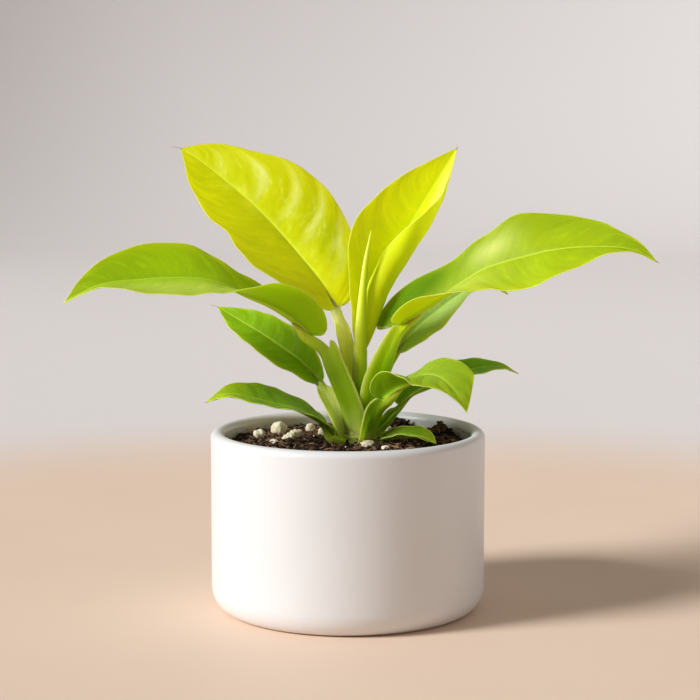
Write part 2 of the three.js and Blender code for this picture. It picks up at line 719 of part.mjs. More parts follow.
place('pot', potSolid(), 0xf1eeea, 0.45);
placeCut('crown', crownSolid(), crownSolid(GAP), 0xa9b96a, 0.6);

const behind = LEAVES.filter((leaf) => leaf.behindSpear);
const front = LEAVES.filter((leaf) => !leaf.behindSpear);
front.forEach((leaf) => placeCut(leaf.name, leafSolid(leaf), leafSolid(leaf, GAP), leaf.colour, 0.4));
placeCut('new_leaf_spear', spearSolid(), spearSolid(GAP), 0xc6d82a, 0.4);
behind.forEach((leaf) => placeCut(leaf.name, leafSolid(leaf), leafSolid(leaf, GAP), leaf.colour, 0.4));

PUMICE_GRAINS.forEach((grain, i) => {
  placeCut(`pumice_${i + 1}`, grainSolid(grain, i), grainSolid(grain, i, GAP + 0.15), 0xe2d7bf, 0.9);
});

placeCut('potting_soil', soilSolid(), soilSolid(), 0x2c211a, 0.95);

export default plant;
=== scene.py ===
"""Potted moonshine philodendron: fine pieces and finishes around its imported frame.

The tables and shapes are in millimetres and become metres when a mesh is made. +Z is up, the front
faces -Y and the origin is the middle of the pot's underside.
"""

import math

import bpy
import numpy as np
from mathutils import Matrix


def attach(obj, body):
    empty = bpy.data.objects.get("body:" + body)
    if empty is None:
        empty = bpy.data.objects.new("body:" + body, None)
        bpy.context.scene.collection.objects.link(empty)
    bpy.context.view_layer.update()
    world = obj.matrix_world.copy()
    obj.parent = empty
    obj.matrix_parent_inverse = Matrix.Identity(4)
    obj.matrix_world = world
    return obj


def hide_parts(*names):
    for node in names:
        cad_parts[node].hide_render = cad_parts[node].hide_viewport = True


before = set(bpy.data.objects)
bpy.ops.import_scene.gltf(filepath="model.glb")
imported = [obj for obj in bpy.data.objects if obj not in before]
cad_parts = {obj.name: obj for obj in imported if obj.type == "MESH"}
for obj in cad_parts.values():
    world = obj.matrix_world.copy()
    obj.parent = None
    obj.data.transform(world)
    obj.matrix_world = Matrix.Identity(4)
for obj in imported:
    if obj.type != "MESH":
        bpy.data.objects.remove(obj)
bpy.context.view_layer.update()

bl_info = {
    "name": "Potted Moonshine Philodendron",
    "version": (1, 0, 0),
    "blender": (4, 5, 0),
    "location": "View3D > Sidebar > Philodendron",
    "description": "Makes a potted philodendron: its pot, soil, pumice, leaves and rolled new leaf",
    "category": "Add Mesh",
}

MM = 0.001

# Seeds of the random draws. Some pieces use the numbers that follow theirs as well.
SEEDS = {
    "pot": 3, "crown": 9, "coarse_soil": 11, "fine_soil": 12, "crumbs": 21, "crumb_shapes": 22,
    "chips": 31, "chip_tilts": 32, "fibres": 41, "grains": 50, "bits": 61, "bit_shapes": 62, "stalks": 70,
}

# The ten leaves, in the shapes of the frame. Angles are in degrees and colours in sRGB.
#   stalk, blade: points from the crown to the blade, and from the blade's base to its tip.
#   face: where the upper side looks, at even places along the blade.
#   left, right: half widths at nine even places.
#   rise_, curl_: how far a half tilts up from the face, and how far it bends on towards its margin.
#   lobe: how far the left and the right half run back beside the stalk.
#   radius: of the stalk, at its foot and under the blade.
#   sheath: heights of its wings from the foot on, lean of their tips along the stalk, until, its end as a
#     share of the stalk, fade, the length over which it runs out, face, the side it opens to, spread, the
#     headings between which a wing bends, and sides, the share of the height on the left and on the right.
#   veins: number of main side veins. pleat: depth of the folds between them on the left and on the right.
#   hair, hair_bend: length of the drawn-out tip, and how far it bends aside and up.
#   deep, pale, streak: soft patches of painted shade in deeper green, of painted sheen in paler green
#     and of painted highlight bands, each with its place along and across, its reach along and across, and
#     its strength. along is 0 at the base and 1 at the tip, across -1 at the left margin and 1 at the right.
#   stalk_green, stalk_top: colours of the stalk where it is sheathed and below the blade. Some are raised
#     far above the stalk's own green, as painted light where blades shade the stalk.
#   dry: how papery the edges of the sheath are.
#   colours: of the blade near its base, in its middle, near its tip, and below.
LEAVES = {
    "leaf_front_right": {
        "stalk": [(7.5, -9.5, 81), (11.3, -12, 90), (14.5, -14, 97)],
        "blade": [
            (18, -16, 103), (24, -20, 108), (30.5, -25, 112.5), (36.5, -30, 115.5),
            (42.5, -36, 114.5), (46.5, -41, 111.5), (50.5, -45, 107), (53.5, -49, 100.5),
        ],
        "face": [(-0.3, 0.25, 1), (-0.1, 0.1, 1), (0, -0.4, 1), (0.3, -0.8, 0.9), (0.6, -0.8, 0.5)],
        "left": [10, 12, 12.5, 12.5, 12.5, 14, 12.5, 5.5, 0],
        "right": [9, 12.5, 13, 13, 13, 10.5, 6, 3, 0],
        "rise_left": [30, 25, 15, 5, 0],
        "rise_right": [50, 45, 30, 12, 0, 0, 0, 0, 0],
        "lobe": (9, 4.5),
        "radius": (4, 2.4),
        "sheath": {
            "heights": (3.2, 4.2, 4, 3), "lean": 2, "until": 0.95, "face": (-0.8, -0.25, 0.5),
            "spread": (60, 20), "sides": (1, 1),
        },
        "veins": 6, "pleat": (0.25, 0.25), "hair": 0,
        "pale": [(0.5, 0, 0.35, 0.9, 0.06)],
        "stalk_green": (116, 150, 8),
        "colours": [(126, 158, 14), (136, 166, 17), (154, 185, 25), (130, 168, 10)],
    },
    "leaf_right_large": {
        "stalk": [(7.5, -4, 82), (12, -7, 99.5), (18.2, -7, 118.5), (22.5, -5.5, 129.5)],
        "blade": [
            (26, -4, 137), (33.5, -7, 142.5), (42, -10, 148.5), (51, -14, 155), (63, -19, 163),
            (78.5, -25, 168.5), (96, -32, 173), (113.5, -39, 174.5), (127, -45, 173.5), (137.5, -50, 168.5),
        ],
        "face": [
            (-0.35, -0.28, 0.96), (-0.3, -0.31, 0.95), (-0.2, -0.41, 0.91), (0, -0.56, 0.83),
            (0, -0.64, 0.77), (0, -0.6, 0.8), (0, -0.56, 0.83), (0.1, -0.53, 0.85), (0.2, -0.53, 0.85),
        ],
        "left": [12, 15.5, 14, 16.5, 23, 21, 16.5, 7.8, 0],
        "right": [9, 12.5, 14.3, 16.7, 20, 19.5, 13.5, 7, 0],
        "rise_left": [43, 42, 28, 23, 18, 11, 11, 16, 18],
        "rise_right": [57, 45, 18, 2, -4, -2, 0, 18, 30],
        "lobe": (14, 3.5),
        "radius": (4.6, 2.4),
        "sheath": {
            "heights": (2.5, 6.5, 9.6, 8.8, 5), "lean": 3.5, "until": 0.92, "face": (-0.85, -0.3, 0.5),
            "spread": (50, -35), "sides": (0.4, 1),
        },
        "veins": 9, "pleat": (0.14, 0.16), "hair": 1.5,
        "deep": [(0.09, -0.75, 0.22, 0.7, 1.15), (0.62, -1.0, 0.25, 0.45, 0.35), (0.95, 0, 0.12, 1, 0.3)],
        "pale": [(0.4, -0.5, 0.07, 0.28, 0.45), (0.2, 0.5, 0.2, 0.4, 0.2)],
        "stalk_green": (170, 206, 10), "stalk_top": (206, 222, 30),
        "colours": [(167, 183, 9), (159, 181, 14), (146, 170, 14), (205, 225, 14)],
    },
    "leaf_left_long": {
        "stalk": [(3.6, -5, 84), (0.4, -8, 97.5), (-7, -7, 114), (-11.3, -5.5, 123.5)],
        "blade": [
            (-18.5, -4, 131.5), (-26.5, -6, 139), (-36, -9, 145.5), (-45.5, -12, 150), (-61.5, -16, 157),
            (-77, -20, 159), (-95, -25, 158.5), (-113, -30, 156.5), (-128.5, -35, 149),
        ],
        "face": [
            (0.45, 0.45, 1), (0.28, 0.37, 1), (0.15, 0.1, 1), (0.1, -0.2, 1), (0.05, -0.4, 0.9),
            (0, -0.45, 0.9), (0, -0.45, 0.9), (-0.05, -0.45, 0.9), (-0.1, -0.5, 0.9),
        ],
        "left": [11.5, 15, 15.5, 17, 20, 20, 16.5, 8, 0],
        "right": [13, 15, 15.5, 15, 20, 20.5, 17, 9, 0],
        "rise_left": [45, 40, 24, 2, 5, 8, 14, 24, 30],
        "rise_right": [25, 36, 31, 22, 21, 22, 25, 25, 25],
        "curl_left": [10, 10, 0, 0],
        "lobe": (5.5, 7),
        "radius": (4.6, 2.6),
        "sheath": {
            "heights": (7, 7, 6.4, 5.6, 4), "lean": 5, "until": 0.8, "face": (0.85, -0.25, 0.5),
            "spread": (60, -10), "sides": (1, 0.4),
        },
        "veins": 9, "pleat": (0.12, 0.1), "hair": 0,
        "deep": [(0.45, -0.9, 0.4, 0.35, 0.3), (0.12, 0.4, 0.12, 0.6, 0.25)],
        "pale": [(0.55, -0.6, 0.35, 0.4, 0.22), (0.97, 0, 0.05, 1, 0.06)],
        # Stalk top raised as painted light where the blade shades it
        "stalk_green": (126, 156, 6), "stalk_top": (226, 250, 70),
        "colours": [(183, 216, 9), (160, 195, 11), (134, 164, 14), (164, 204, 8)],
    },
    "leaf_left_small": {
        "stalk": [(-2.5, -7.5, 82), (-6, -8, 92), (-10.5, -4, 102)],
        "blade": [
            (-14, 0, 108.5), (-22, 4, 117), (-32, 10, 123.5),
            (-42, 16, 129.5), (-53, 24, 135), (-63.5, 31, 140.5),
        ],
        "face": [(0.1, -1, 0.3), (0, -1, 0.8), (0, -1, 1), (0, -1, 1)],
        "left": [3.5, 8, 11.5, 12, 11.2, 10.2, 8.4, 4.8, 0],
        "right": [4, 7.2, 10, 11.3, 11, 10.5, 8.4, 4.9, 0],
        "rise_left": [25, 20, 15, 15],
        "rise_right": [25, 15, 10, 10],
        "lobe": (1.5, 1.5),
        "radius": (3, 1.9),
        "sheath": {
            "heights": (2.2, 3.2, 3, 2), "lean": 1, "fade": 7, "until": 0.92, "face": (0.7, -0.7, 0.3),
            "spread": (60, 20), "sides": (1, 1),
        },
        "veins": 7, "pleat": (0.2, 0.2), "hair_bend": (-0.5, -1.5), "hair": 5,
        # Stalk colours raised as painted light where blades shade the stalk
        "stalk_green": (226, 240, 126), "stalk_top": (190, 216, 80),
        "colours": [(127, 174, 9), (123, 164, 11), (140, 181, 22), (120, 160, 18)],
    },
    "leaf_low_left": {
        "stalk": [(0, -7, 78.5), (-5.8, -12.2, 82)],
        "blade": [
            (-7.2, -13, 85), (-11.5, -14.8, 91), (-22.5, -17, 97.5), (-34, -19, 100.5),
            (-45.5, -20, 103.5), (-55.5, -20, 105), (-66, -20, 101),
        ],
        "face": [(0, -0.1, 1), (0, -0.2, 1), (0, -0.3, 1), (-0.2, -0.3, 1)],
        "left": [4, 7, 10, 12, 11, 10, 8, 4.8, 0],
        "right": [4, 7, 11, 14.5, 16, 14.5, 11.4, 6, 0],
        "rise_left": [15, 12, 12, 12],
        "rise_right": [10, 5, 5, 5],
        "lobe": (0, 0),
        "radius": (3, 2.2),
        "veins": 7, "pleat": (0.2, 0.2), "hair": 0.8,
        "stalk_green": (178, 208, 70), "stalk_top": (140, 172, 44),
        "colours": [(110, 147, 14), (115, 157, 18), (169, 188, 22), (110, 150, 22)],
    },
    "leaf_front_small": {
        "stalk": [(8, -7, 80), (13.5, -10, 80.6)],
        "blade": [
            (17, -12, 82.8), (22.5, -13.5, 84.5), (28.5, -15.5, 85), (35, -17.5, 84.2), (41, -19.5, 81.8),
        ],
        "face": [(-0.2, -0.3, 1), (0, -0.3, 1), (0.2, -0.4, 1)],
        "left": [3, 3.8, 4.4, 5, 5.6, 6.1, 5.8, 3.8, 0],
        "right": [3, 4, 4.6, 5, 5.2, 5, 4.6, 3, 0],
        "rise_left": [35, 25, 10],
        "rise_right": [25, 25, 15],
        "lobe": (2, 2),
        "radius": (1.8, 1.3),
        "veins": 4, "pleat": (0.12, 0.12), "hair": 0,
        "colours": [(87, 115, 14), (97, 127, 14), (125, 141, 22), (110, 150, 22)],
    },
    "leaf_upper_right": {
        "stalk": [(4.5, 3, 82), (5, 6, 98.5), (5.5, 7, 110.5)],
        "blade": [
            (6, 7, 121.5), (9.3, 8, 135.5), (13.6, 9, 151.5), (21.8, 12, 167),
            (31.3, 15, 184.5), (41.8, 18, 201.5), (52, 22, 217.5),
        ],
        "face": [(0, -1, 0), (0, -1, 0.2), (-0.1, -1, 0.3), (-0.2, -1, 0.3)],
        "left": [4, 9, 13.5, 21.9, 24.4, 21, 15.9, 8.5, 0],
        "right": [7, 14.6, 21, 24.8, 25.2, 23.6, 17.2, 8, 0],
        "rise_left": [40, 25, 15, 10, 10],
        "rise_right": [-10, -10, -10, 10],
        "curl_left": [10, 10, 10, 10],
        "curl_right": [240, 258, 254, 180, 110, 60],
        "lobe": (0, 0),
        "radius": (4.4, 3.2),
        "veins": 8, "pleat": (0.1, 0.12), "hair": 1.5,
        "pale": [(0.74, 0.5, 0.2, 0.2, 0.45), (0.3, 0.62, 0.25, 0.16, 0.6)],
        # Stalk colour raised as painted light where blades shade the stalk
        "stalk_green": (196, 228, 8),
        "colours": [(225, 242, 4), (226, 238, 2), (213, 224, 9), (214, 224, 11)],
    },
    "leaf_upper_left": {
        "stalk": [(1, 1, 83), (0.5, 4, 100), (-0.5, 4, 117.5), (-3, 3.5, 132)],
        "blade": [
            (-6, 4, 143.5), (-13, 10, 155), (-23, 18, 166.5), (-33, 25, 177.5), (-42.5, 31, 187),
            (-53.5, 37, 196.5), (-65, 43, 205.5), (-74.5, 47, 212.5), (-82.5, 50, 217),
        ],
        "face": [(0.25, -1, 0.75), (0.15, -1, 0.55), (0.05, -1, 0.5), (0, -1, 0.5)],
        "left": [14, 28.5, 33, 31.5, 26.5, 25.5, 20, 12.5, 0],
        "right": [10, 22, 28, 31.5, 31.5, 27.5, 20, 12.5, 0],
        "rise_left": [35, 28, 22, 18, 15],
        "rise_right": [15, 12, 8, 8, 10],
        "curl_left": [0, 10, 10, 0],
        "curl_right": [-20, -15, 0, 0],
        "lobe": (2.4, 1.2),
        "radius": (3.8, 2.4),
        "sheath": {
            "heights": (2.2, 2.8, 3.2, 3.2), "lean": 0.3, "fade": 9, "until": 0.93, "face": (0.9, -0.5, 0.2),
            "spread": (60, 20), "sides": (1, 0.5),
        },
        "veins": 6, "pleat": (0.1, 0.3), "hair_bend": (-1.4, -1.5), "hair": 4.5,
        "streak": [(0.66, 0.42, 0.16, 0.34, 0.6), (0.36, 0.6, 0.24, 0.36, 0.65)],
        "deep": [(0.26, 0.6, 0.13, 0.32, 0.38)],
        # Stalk colours raised as painted light where blades shade the stalk
        "stalk_green": (242, 253, 84), "stalk_top": (248, 255, 168),
        "colours": [(228, 232, 3), (208, 216, 2), (200, 209, 3), (200, 207, 9)],
    },
    "leaf_right_back": {
        "stalk": [(8, 2, 82), (13, 5, 96), (19, 8, 112.5)],
        "blade": [
            (23.5, 10, 121.5), (31, 18, 129.5), (42, 28, 138),
            (57.5, 39, 147.5), (70, 45, 150.5), (79.5, 50, 145),
        ],
        "face": [(-0.3, -1, 0.8), (-0.3, -1, 1), (-0.2, -1, 1)],
        "left": [5, 9.5, 12.5, 13, 12, 10, 8, 5, 0],
        "right": [5, 9.5, 12.5, 12, 11, 10, 8, 5, 0],
        "rise_left": [20, 20, 20],
        "rise_right": [15, 15, 15, 18, 28, 38, 42, 40, 30],
        "lobe": (1, 1),
        "radius": (2.8, 1.5),
        "veins": 7, "pleat": (0.25, 0.25), "hair": 0,
        "colours": [(150, 188, 36), (172, 204, 108), (160, 194, 92), (164, 196, 104)],
    },
    "leaf_right_slim": {
        "stalk": [(10, -1, 81), (17, 2, 86.5), (22, 4, 92)],
        "blade": [
            (25.5, 6, 97.5), (30.5, 9, 101.5), (39.5, 13, 104.5), (51.5, 18, 109.5),
            (64, 22, 112), (74, 26, 112), (83.5, 30, 108),
        ],
        "face": [(-0.3, -0.3, 1), (-0.1, -0.3, 1), (0, -0.4, 1), (0.2, -0.4, 1)],
        "left": [4, 6.5, 8.5, 9.7, 9.8, 9, 6.6, 3, 0],
        "right": [4, 6, 7, 8.5, 9.5, 8.5, 6, 3, 0],
        "rise_left": [20, 10, 5, 0],
        "rise_right": [25, 25, 28, 20, 12, 10, 10, 15, 15],
        "lobe": (2, 2),
        "radius": (2.6, 1.5),
        "sheath": {
            "heights": (1.4, 2, 2), "lean": 1, "fade": 6, "until": 0.93, "face": (-0.7, -0.3, 0.7),
            "spread": (60, 20), "sides": (1, 1),
        },
        "veins": 7, "pleat": (0.15, 0.15), "hair": 0, "dry": 0.8,
        "colours": [(103, 152, 11), (115, 171, 16), (131, 180, 20), (119, 162, 18)],
    },
}

# The rolled new leaf: its middle line and its radius at even places.
SPEAR_LINE = [
    (5.5, -2, 83), (6, -2, 100), (5.5, -2, 116.5), (6, -2, 133),
    (7, -2, 149.5), (8.5, -1, 165), (11, 0, 179.5),
]
SPEAR_RADIUS = [3.6, 3.8, 3.7, 2.9, 2.1, 1.4, 0.3]

# Crown: where it stands, and how it narrows: (height, radius).
CROWN_PLACE = (4.5, -3)
CROWN_PROFILE = [(58, 5), (64, 7.5), (72, 8.6), (79, 8.9), (83, 8.2), (86, 6.6), (88.4, 4.4), (90, 2)]

# Pumice grains: x, y and z of the middle, length, width, height, turn about the upright in degrees, knobs
# along the grain, and tilt in degrees.
PUMICE_GRAINS = [
    (-43, 16, 79.8, 5.6, 5.2, 5, 20, 1, 10),
    (-34, 30, 80.6, 7.8, 7, 7.2, 60, 0, 0),
    (-27, 11, 79.9, 11, 5, 4.8, 35, 3, 22),
    (-18.5, 36, 79.8, 4.6, 4.2, 4.6, 10, 0, 0),
    (-12.5, 22, 80.2, 4.4, 4, 4, 80, 0, 0),
    (9, -17.5, 80.2, 7, 5.6, 5.2, 15, 0, 0),
    (-35, 0, 79, 4.2, 3.2, 3, 150, 1, 0),
    (20, 35, 79.4, 3.8, 3.4, 3.4, 40, 0, 0),
    (17.5, -22, 79.4, 4.4, 3.8, 3.8, 120, 1, 0),
    (-2, 31, 79.6, 6, 5.4, 5, 70, 2, 8),
]

# Clods of soil against the wall: x, y, height, radius.
SOIL_CLODS = [
    (45, 24, 5.5, 5.5),
    (25, 47, 4.5, 7),
    (-46, 27, 1.5, 6),
    (4, 48, 1.5, 8),
    (-20, -40, 1.2, 9),
    (32, -36, 1.6, 8),
]

# Finer shape, in millimetres unless said otherwise.
UV_SPAN = 160  # length over which a leaf's UV runs from 0 to 1
SOIL_GAP = 0.3  # between the soil and the pot
SOIL_BELOW = ((9, 0), (1.2, 7), (0, 12))  # in from the wall and up from the floor, for the rings below
CRUMB_RELIEF = ((2.6, 0.45), (1.3, 0.3), (0.65, 0.16))  # size and height
LUMP_GRID = (4, 6)  # rows and sides of the ball that crumbs, chips and bits are made from
LOBE_END = 0.3  # share of the blade over which its lobes run back
ROUND_END = 0.07  # share of the blade over which its base rounds off
LEAST_HALF = 0.16  # half width at the very tip of a blade
LEAST_CURL = 1e-3  # radians, below which a half counts as straight
MIDRIB_DEPTH = 1.3  # how far the midrib stands out below, at the base of a blade
RIM_BELOW = 0.4  # share of the underside's colour on a blade's rim
ROW_STEP, COLUMN_STEP, LEAST_COLUMNS = 0.85, 0.72, 18  # how finely a blade is divided
STALK_STEP = 0.7  # between the rings of a stalk
UNDER_BLADE = 9  # how far the stalk runs on under the blade
NO_SHEATH = {"heights": (0, 0), "lean": 0, "until": 0.01, "spread": (40, 40), "sides": (1, 1)}
WING_ANGLE = 68  # degrees from up at which a sheath's wings leave the stalk
WING_THICK = 0.3  # half the thickness of a wing
WING_LEAST = 0.15  # least height of a wing, which keeps its two sides apart
HAIR_ROOT = 0.8  # how far inside the tip its hair begins
HAIR_WIDTHS = (0.24, 0.035)  # how much its radius falls, and what is left at its end
ROLL_OVERLAP = 0.5  # how far the roll's outer edge stands over the inner one, at its foot
ROLL_RIBS = 11  # fine ribs round the roll
SCAR_STEP = 2.6  # between the rings on the crown
SCAR_HEIGHT = 0.22  # how far a ring stands out

# The stage, in metres: a floor flat as far as FLOOR_FLAT, a bend of BEND_RADIUS and a wall to WALL_TOP.
FLOOR_FLAT = 2.4
BEND_RADIUS = 0.9
WALL_TOP = 1.1
STAGE_SIDES = 96
FLOOR_FADE = (0.36, 0.62)  # distances over which the floor's colour turns into the backdrop's
# Distances over which the backdrop's painted light falls off
BACKDROP_FADE = (0.9, 3.3)  # distances over which the backdrop darkens

# The camera: its place in metres, its dip below level in radians and its sensor's width in millimetres.
CAMERA_PLACE = (0.00097, -0.912, 0.232)
CAMERA_DIP = 0.119
SENSOR_WIDTH = 36

# Colours of marks and stains, and of the painted shade inside the pot, in sRGB.
BARE_CLAY = (214, 202, 184)
TAN_SHADE = (240, 214, 158)
WORN_PUMICE = (222, 200, 156)
PAPERY = (134, 120, 84)
SOIL_DUST = (120, 92, 50)
DRY_PALE = (206, 200, 160)
DRY_BROWN = (150, 128, 92)
SCAR = (112, 80, 46)
SCAR_DEEP = (70, 50, 34)
DAYLIGHT = (246, 251, 255)

# Shares by which a colour is multiplied: a stalk's streaks, the painted shade on a blade, the foot of the
# rolled leaf and its tip.
STREAK_TINT = (0.8, 0.84, 0.5, 1.0)
SHADE_SHARES = (0.34, 0.52, 0.3)
ROLL_FOOT = (0.76, 0.94, 0.7)
ROLL_TIP = (1.04, 1.02, 1.4)

# Numbers of the sockets by which a Mix node mixes colours: factor, first, second and result.
MIX_FACTOR, MIX_FIRST, MIX_SECOND, MIX_RESULT = 0, 6, 7, 2

# Finish numbers of a leaf's shells, in the order of its materials.
BLADE, STALK, DRY = 0, 1, 2


# Settings

def size_property(name, description, default):
    """A length in metres."""
    return bpy.props.FloatProperty(
        name=name, description=description, default=default, min=0.0, precision=4, unit="LENGTH")


def share_property(name, description, default):
    """A share from 0 to 1."""
    return bpy.props.FloatProperty(
        name=name, description=description, default=default, min=0.0, max=1.0, subtype="FACTOR")


def count_property(name, description, default):
    """A whole number."""
    return bpy.props.IntProperty(name=name, description=description, default=default, min=0)


def angle_property(name, description, degrees):
    """An angle, given in degrees and kept in radians."""
    return bpy.props.FloatProperty(
        name=name, description=description, default=math.radians(degrees), min=0.0, max=math.pi / 2,
        subtype="ANGLE")


def colour_property(name, description, default):
    """An sRGB colour, given as 0 to 255 and kept as 0 to 1."""
    shares = tuple(channel / 255 for channel in default)
    return bpy.props.FloatVectorProperty(
        name=name, description=description, default=shares, min=0.0, max=1.0, subtype="COLOR_GAMMA")


class PotSettings(bpy.types.PropertyGroup):
    """Sizes and glaze of the pot."""

    radius: size_property("Radius", "Outer radius of the wall", 0.065)
    height: size_property("Height", "Height of the rim", 0.085)
    wall: size_property("Wall", "Thickness of the wall", 0.0066)
    floor: size_property("Floor", "Thickness of the floor", 0.008)
    foot_radius: size_property("Foot radius", "Radius of the flat underside", 0.0565)
    glaze: colour_property("Glaze", "Colour of the glaze", (225, 223, 222))
    roughness: share_property("Roughness", "Roughness of the satin glaze", 0.38)


class SoilSettings(bpy.types.PropertyGroup):
    """Heights, crumbs and colours of the potting mix."""

    level: size_property("Level", "Height of the soil at the wall", 0.0775)
    mound: size_property("Mound", "Rise of the soil around the crown", 0.0022)
    mound_radius: size_property("Mound radius", "Reach of the rise around the crown", 0.03)
    crumbs: count_property("Crumbs", "Loose crumbs on the soil", 1900)
    fibres: count_property("Fibres", "Root and bark fibres on the soil", 640)
    chips: count_property("Chips", "Small pieces of bark on the soil", 210)
    bits: count_property("Pumice bits", "Small pieces of pumice on the soil", 46)
    dark: colour_property("Dark", "Colour of the damp soil", (34, 24, 19))
    light: colour_property("Light", "Colour of the dry crumbs", (124, 90, 66))
    fibre: colour_property("Fibre", "Colour of the fibres", (186, 142, 106))


class PumiceSettings(bpy.types.PropertyGroup):
    """Colours of the pumice."""

    cream: colour_property("Cream", "Colour of the clean stone", (242, 230, 200))
    # Used only for the painted shade in the pores
    stain: colour_property("Stain", "Colour of the stone where soil clings", (150, 118, 82))
    pores: share_property("Pores", "Depth of the pores as a share of a grain", 0.05)


class LeafSettings(bpy.types.PropertyGroup):
    """Thickness, relief and veins of the leaves."""

    thickness: size_property("Thickness", "Thickness of a blade", 0.00065)
    margin: size_property("Margin", "Width of the pale margin", 0.00035)
    groove: size_property("Groove", "Depth of the groove over the midrib", 0.00035)
    vein: colour_property("Veins", "Colour of the midrib and side veins", (222, 232, 80))
    # Colour of the painted sheen and highlight bands on the blades
    sheen: colour_property("Sheen", "Colour of the pale bands and patches of the blades", (240, 244, 150))
    edge: colour_property("Margin colour", "Colour of the thin margin", (226, 236, 120))
    stalk: colour_property("Stalk", "Colour of the stalks", (128, 166, 14))
    stalk_top: colour_property("Stalk top", "Colour of the stalks below the blades", (188, 208, 50))
    stalk_foot: colour_property("Stalk foot", "Colour of the stalks at the soil", (178, 192, 84))
    new_leaf: colour_property("New leaf", "Colour of the rolled leaf", (216, 230, 48))


class StageSettings(bpy.types.PropertyGroup):
    """Floor, light and camera."""

    floor: colour_property("Floor", "Colour of the pale floor", (240, 212, 188))
    backdrop: colour_property("Backdrop", "Colour of the backdrop", (213, 206, 203))
    key: bpy.props.FloatProperty(
        name="Key light", description="Strength of the soft key light", default=4.0, min=0.0)
    key_height: angle_property("Key height", "Angle of the key light above the floor", 30)
    key_turn: angle_property("Key turn", "Turn of the key light from the left towards the camera", 22)
    key_width: angle_property("Key width", "How wide the key light looks from the plant", 18)
    fill: bpy.props.FloatProperty(
        name="Fill light", description="Strength of the light from all round", default=0.27, min=0.0)
    fill_colour: colour_property("Fill colour", "Colour of the light from all round", (255, 246, 238))
    lens: bpy.props.FloatProperty(
        name="Lens", description="Focal length of the camera", default=100.0, min=1.0, unit="CAMERA")


class PlantSettings(bpy.types.PropertyGroup):
    """Everything a user may change about the potted plant."""

    pot: bpy.props.PointerProperty(name="Pot", description="The pot", type=PotSettings)
    soil: bpy.props.PointerProperty(name="Soil", description="The potting mix", type=SoilSettings)
    pumice: bpy.props.PointerProperty(name="Pumice", description="The pumice", type=PumiceSettings)
    leaves: bpy.props.PointerProperty(name="Leaves", description="The leaves", type=LeafSettings)
    stage: bpy.props.PointerProperty(name="Stage", description="The stage", type=StageSettings)


# Curves, noise and surfaces

def unit(vectors):
    """Each vector divided by its length."""
    return vectors / np.maximum(np.linalg.norm(vectors, axis=-1, keepdims=True), 1e-12)


def smooth(x):
    """3x^2 - 2x^3 of x held between 0 and 1."""
    x = np.clip(x, 0, 1)
    return x * x * (3 - 2 * x)


def crowded(count, share):
    """count + 1 places from 0 to 1: even ones, blended by share with (1 - cos(pi t)) / 2, which crowds
    both ends."""
    t = np.linspace(0, 1, count + 1)
    return (1 - share) * t + share * (1 - np.cos(np.pi * t)) / 2


def circle(sides):
    """Even angles round a circle, from 0 on."""
    return np.linspace(0, 2 * np.pi, sides, endpoint=False)


def spline(values, t):
    """A smooth curve through evenly spaced numbers or points: on each stretch the cubic whose slope at a
    value is half the difference of its neighbours. t runs from 0 to 1."""
    values = np.asarray(values, float)
    flat = values.ndim == 1
    points = values[:, None] if flat else values
    last = len(points) - 1
    place = np.clip(np.asarray(t, float), 0, 1) * last
    i = np.minimum(place.astype(int), last - 1)
    w = (place - i)[..., None]
    points = np.vstack((2 * points[:1] - points[1:2], points, 2 * points[-1:] - points[-2:-1]))
    a, b, c, d = (points[i + k] for k in range(4))
    result = 0.5 * (2 * b + (c - a) * w + (2 * a - 5 * b + 4 * c - d) * w**2 + (3 * b - a - 3 * c + d) * w**3)
    return result[..., 0] if flat else result


class Line:
    """A smooth curve measured by its length, which runs straight on before its start."""

    def __init__(self, points, samples=400):
        self.points = spline(points, np.linspace(0, 1, samples + 1))
        steps = np.linalg.norm(np.diff(self.points, axis=0), axis=1)
        self.distance = np.concatenate(([0.0], np.cumsum(steps)))
        self.length = self.distance[-1]

    def point(self, distance):
        """The points at these distances from the start."""
        return np.stack([np.interp(distance, self.distance, self.points[:, k]) for k in range(3)], -1)

    def at(self, distance):
        """The points and directions at these distances."""
        inside = np.clip(distance, 0, self.length)
        step = self.length * 0.01
        direction = unit(self.point(inside + step) - self.point(inside - step))
        return self.point(inside) + direction * (distance - inside)[..., None], direction


def frame_of(direction, face):
    """Up and sideways of a leaf part: face without its part along direction, and its cross product."""
    up = unit(face - (face * direction).sum(-1, keepdims=True) * direction)
    return up, np.cross(direction, up)


class Noise:
    """Smooth seeded noise from -1 to 1: random heights at the corners of cubes of a size, blended in
    between by smooth."""

    def __init__(self, seed, cells=24):
        self.cells = cells
        self.heights = np.random.default_rng(seed).uniform(-1, 1, (cells,) * 3)

    def __call__(self, points, size):
        scaled = np.asarray(points, float) / size
        base = np.floor(scaled).astype(int)
        w = smooth(scaled - base)
        total = 0
        for corner in np.ndindex(2, 2, 2):
            i, j, k = ((base[..., n] + corner[n]) % self.cells for n in range(3))
            weight = np.prod([w[..., n] if corner[n] else 1 - w[..., n] for n in range(3)], axis=0)
            total = total + weight * self.heights[i, j, k]
        return total


def ring_faces(rows, sides):
    """The quads between rows x sides points, numbered row by row, where each row is a closed ring."""
    i = np.arange(rows - 1)[:, None] * sides
    j = np.arange(sides)[None, :]
    k = (j + 1) % sides
    return np.stack((i + j, i + k, i + sides + k, i + sides + j), -1).reshape(-1, 4)


def closed_faces(rows, sides):
    """The faces over rows x sides points and the two poles that follow them: the quads between the rings,
    a fan from the first ring to the first pole and one from the last ring to the second pole."""
    j = np.arange(sides)
    k = (j + 1) % sides
    total = rows * sides
    foot = np.stack((k, j, np.full(sides, total)), -1)
    head = np.stack((total - sides + j, total - sides + k, np.full(sides, total + 1)), -1)
    return [ring_faces(rows, sides), foot, head]


def normals_of(grid):
    """The unit vector square to a grid of points: the cross product of its steps across and along."""
    return unit(np.cross(np.gradient(grid, axis=1), np.gradient(grid, axis=0)))


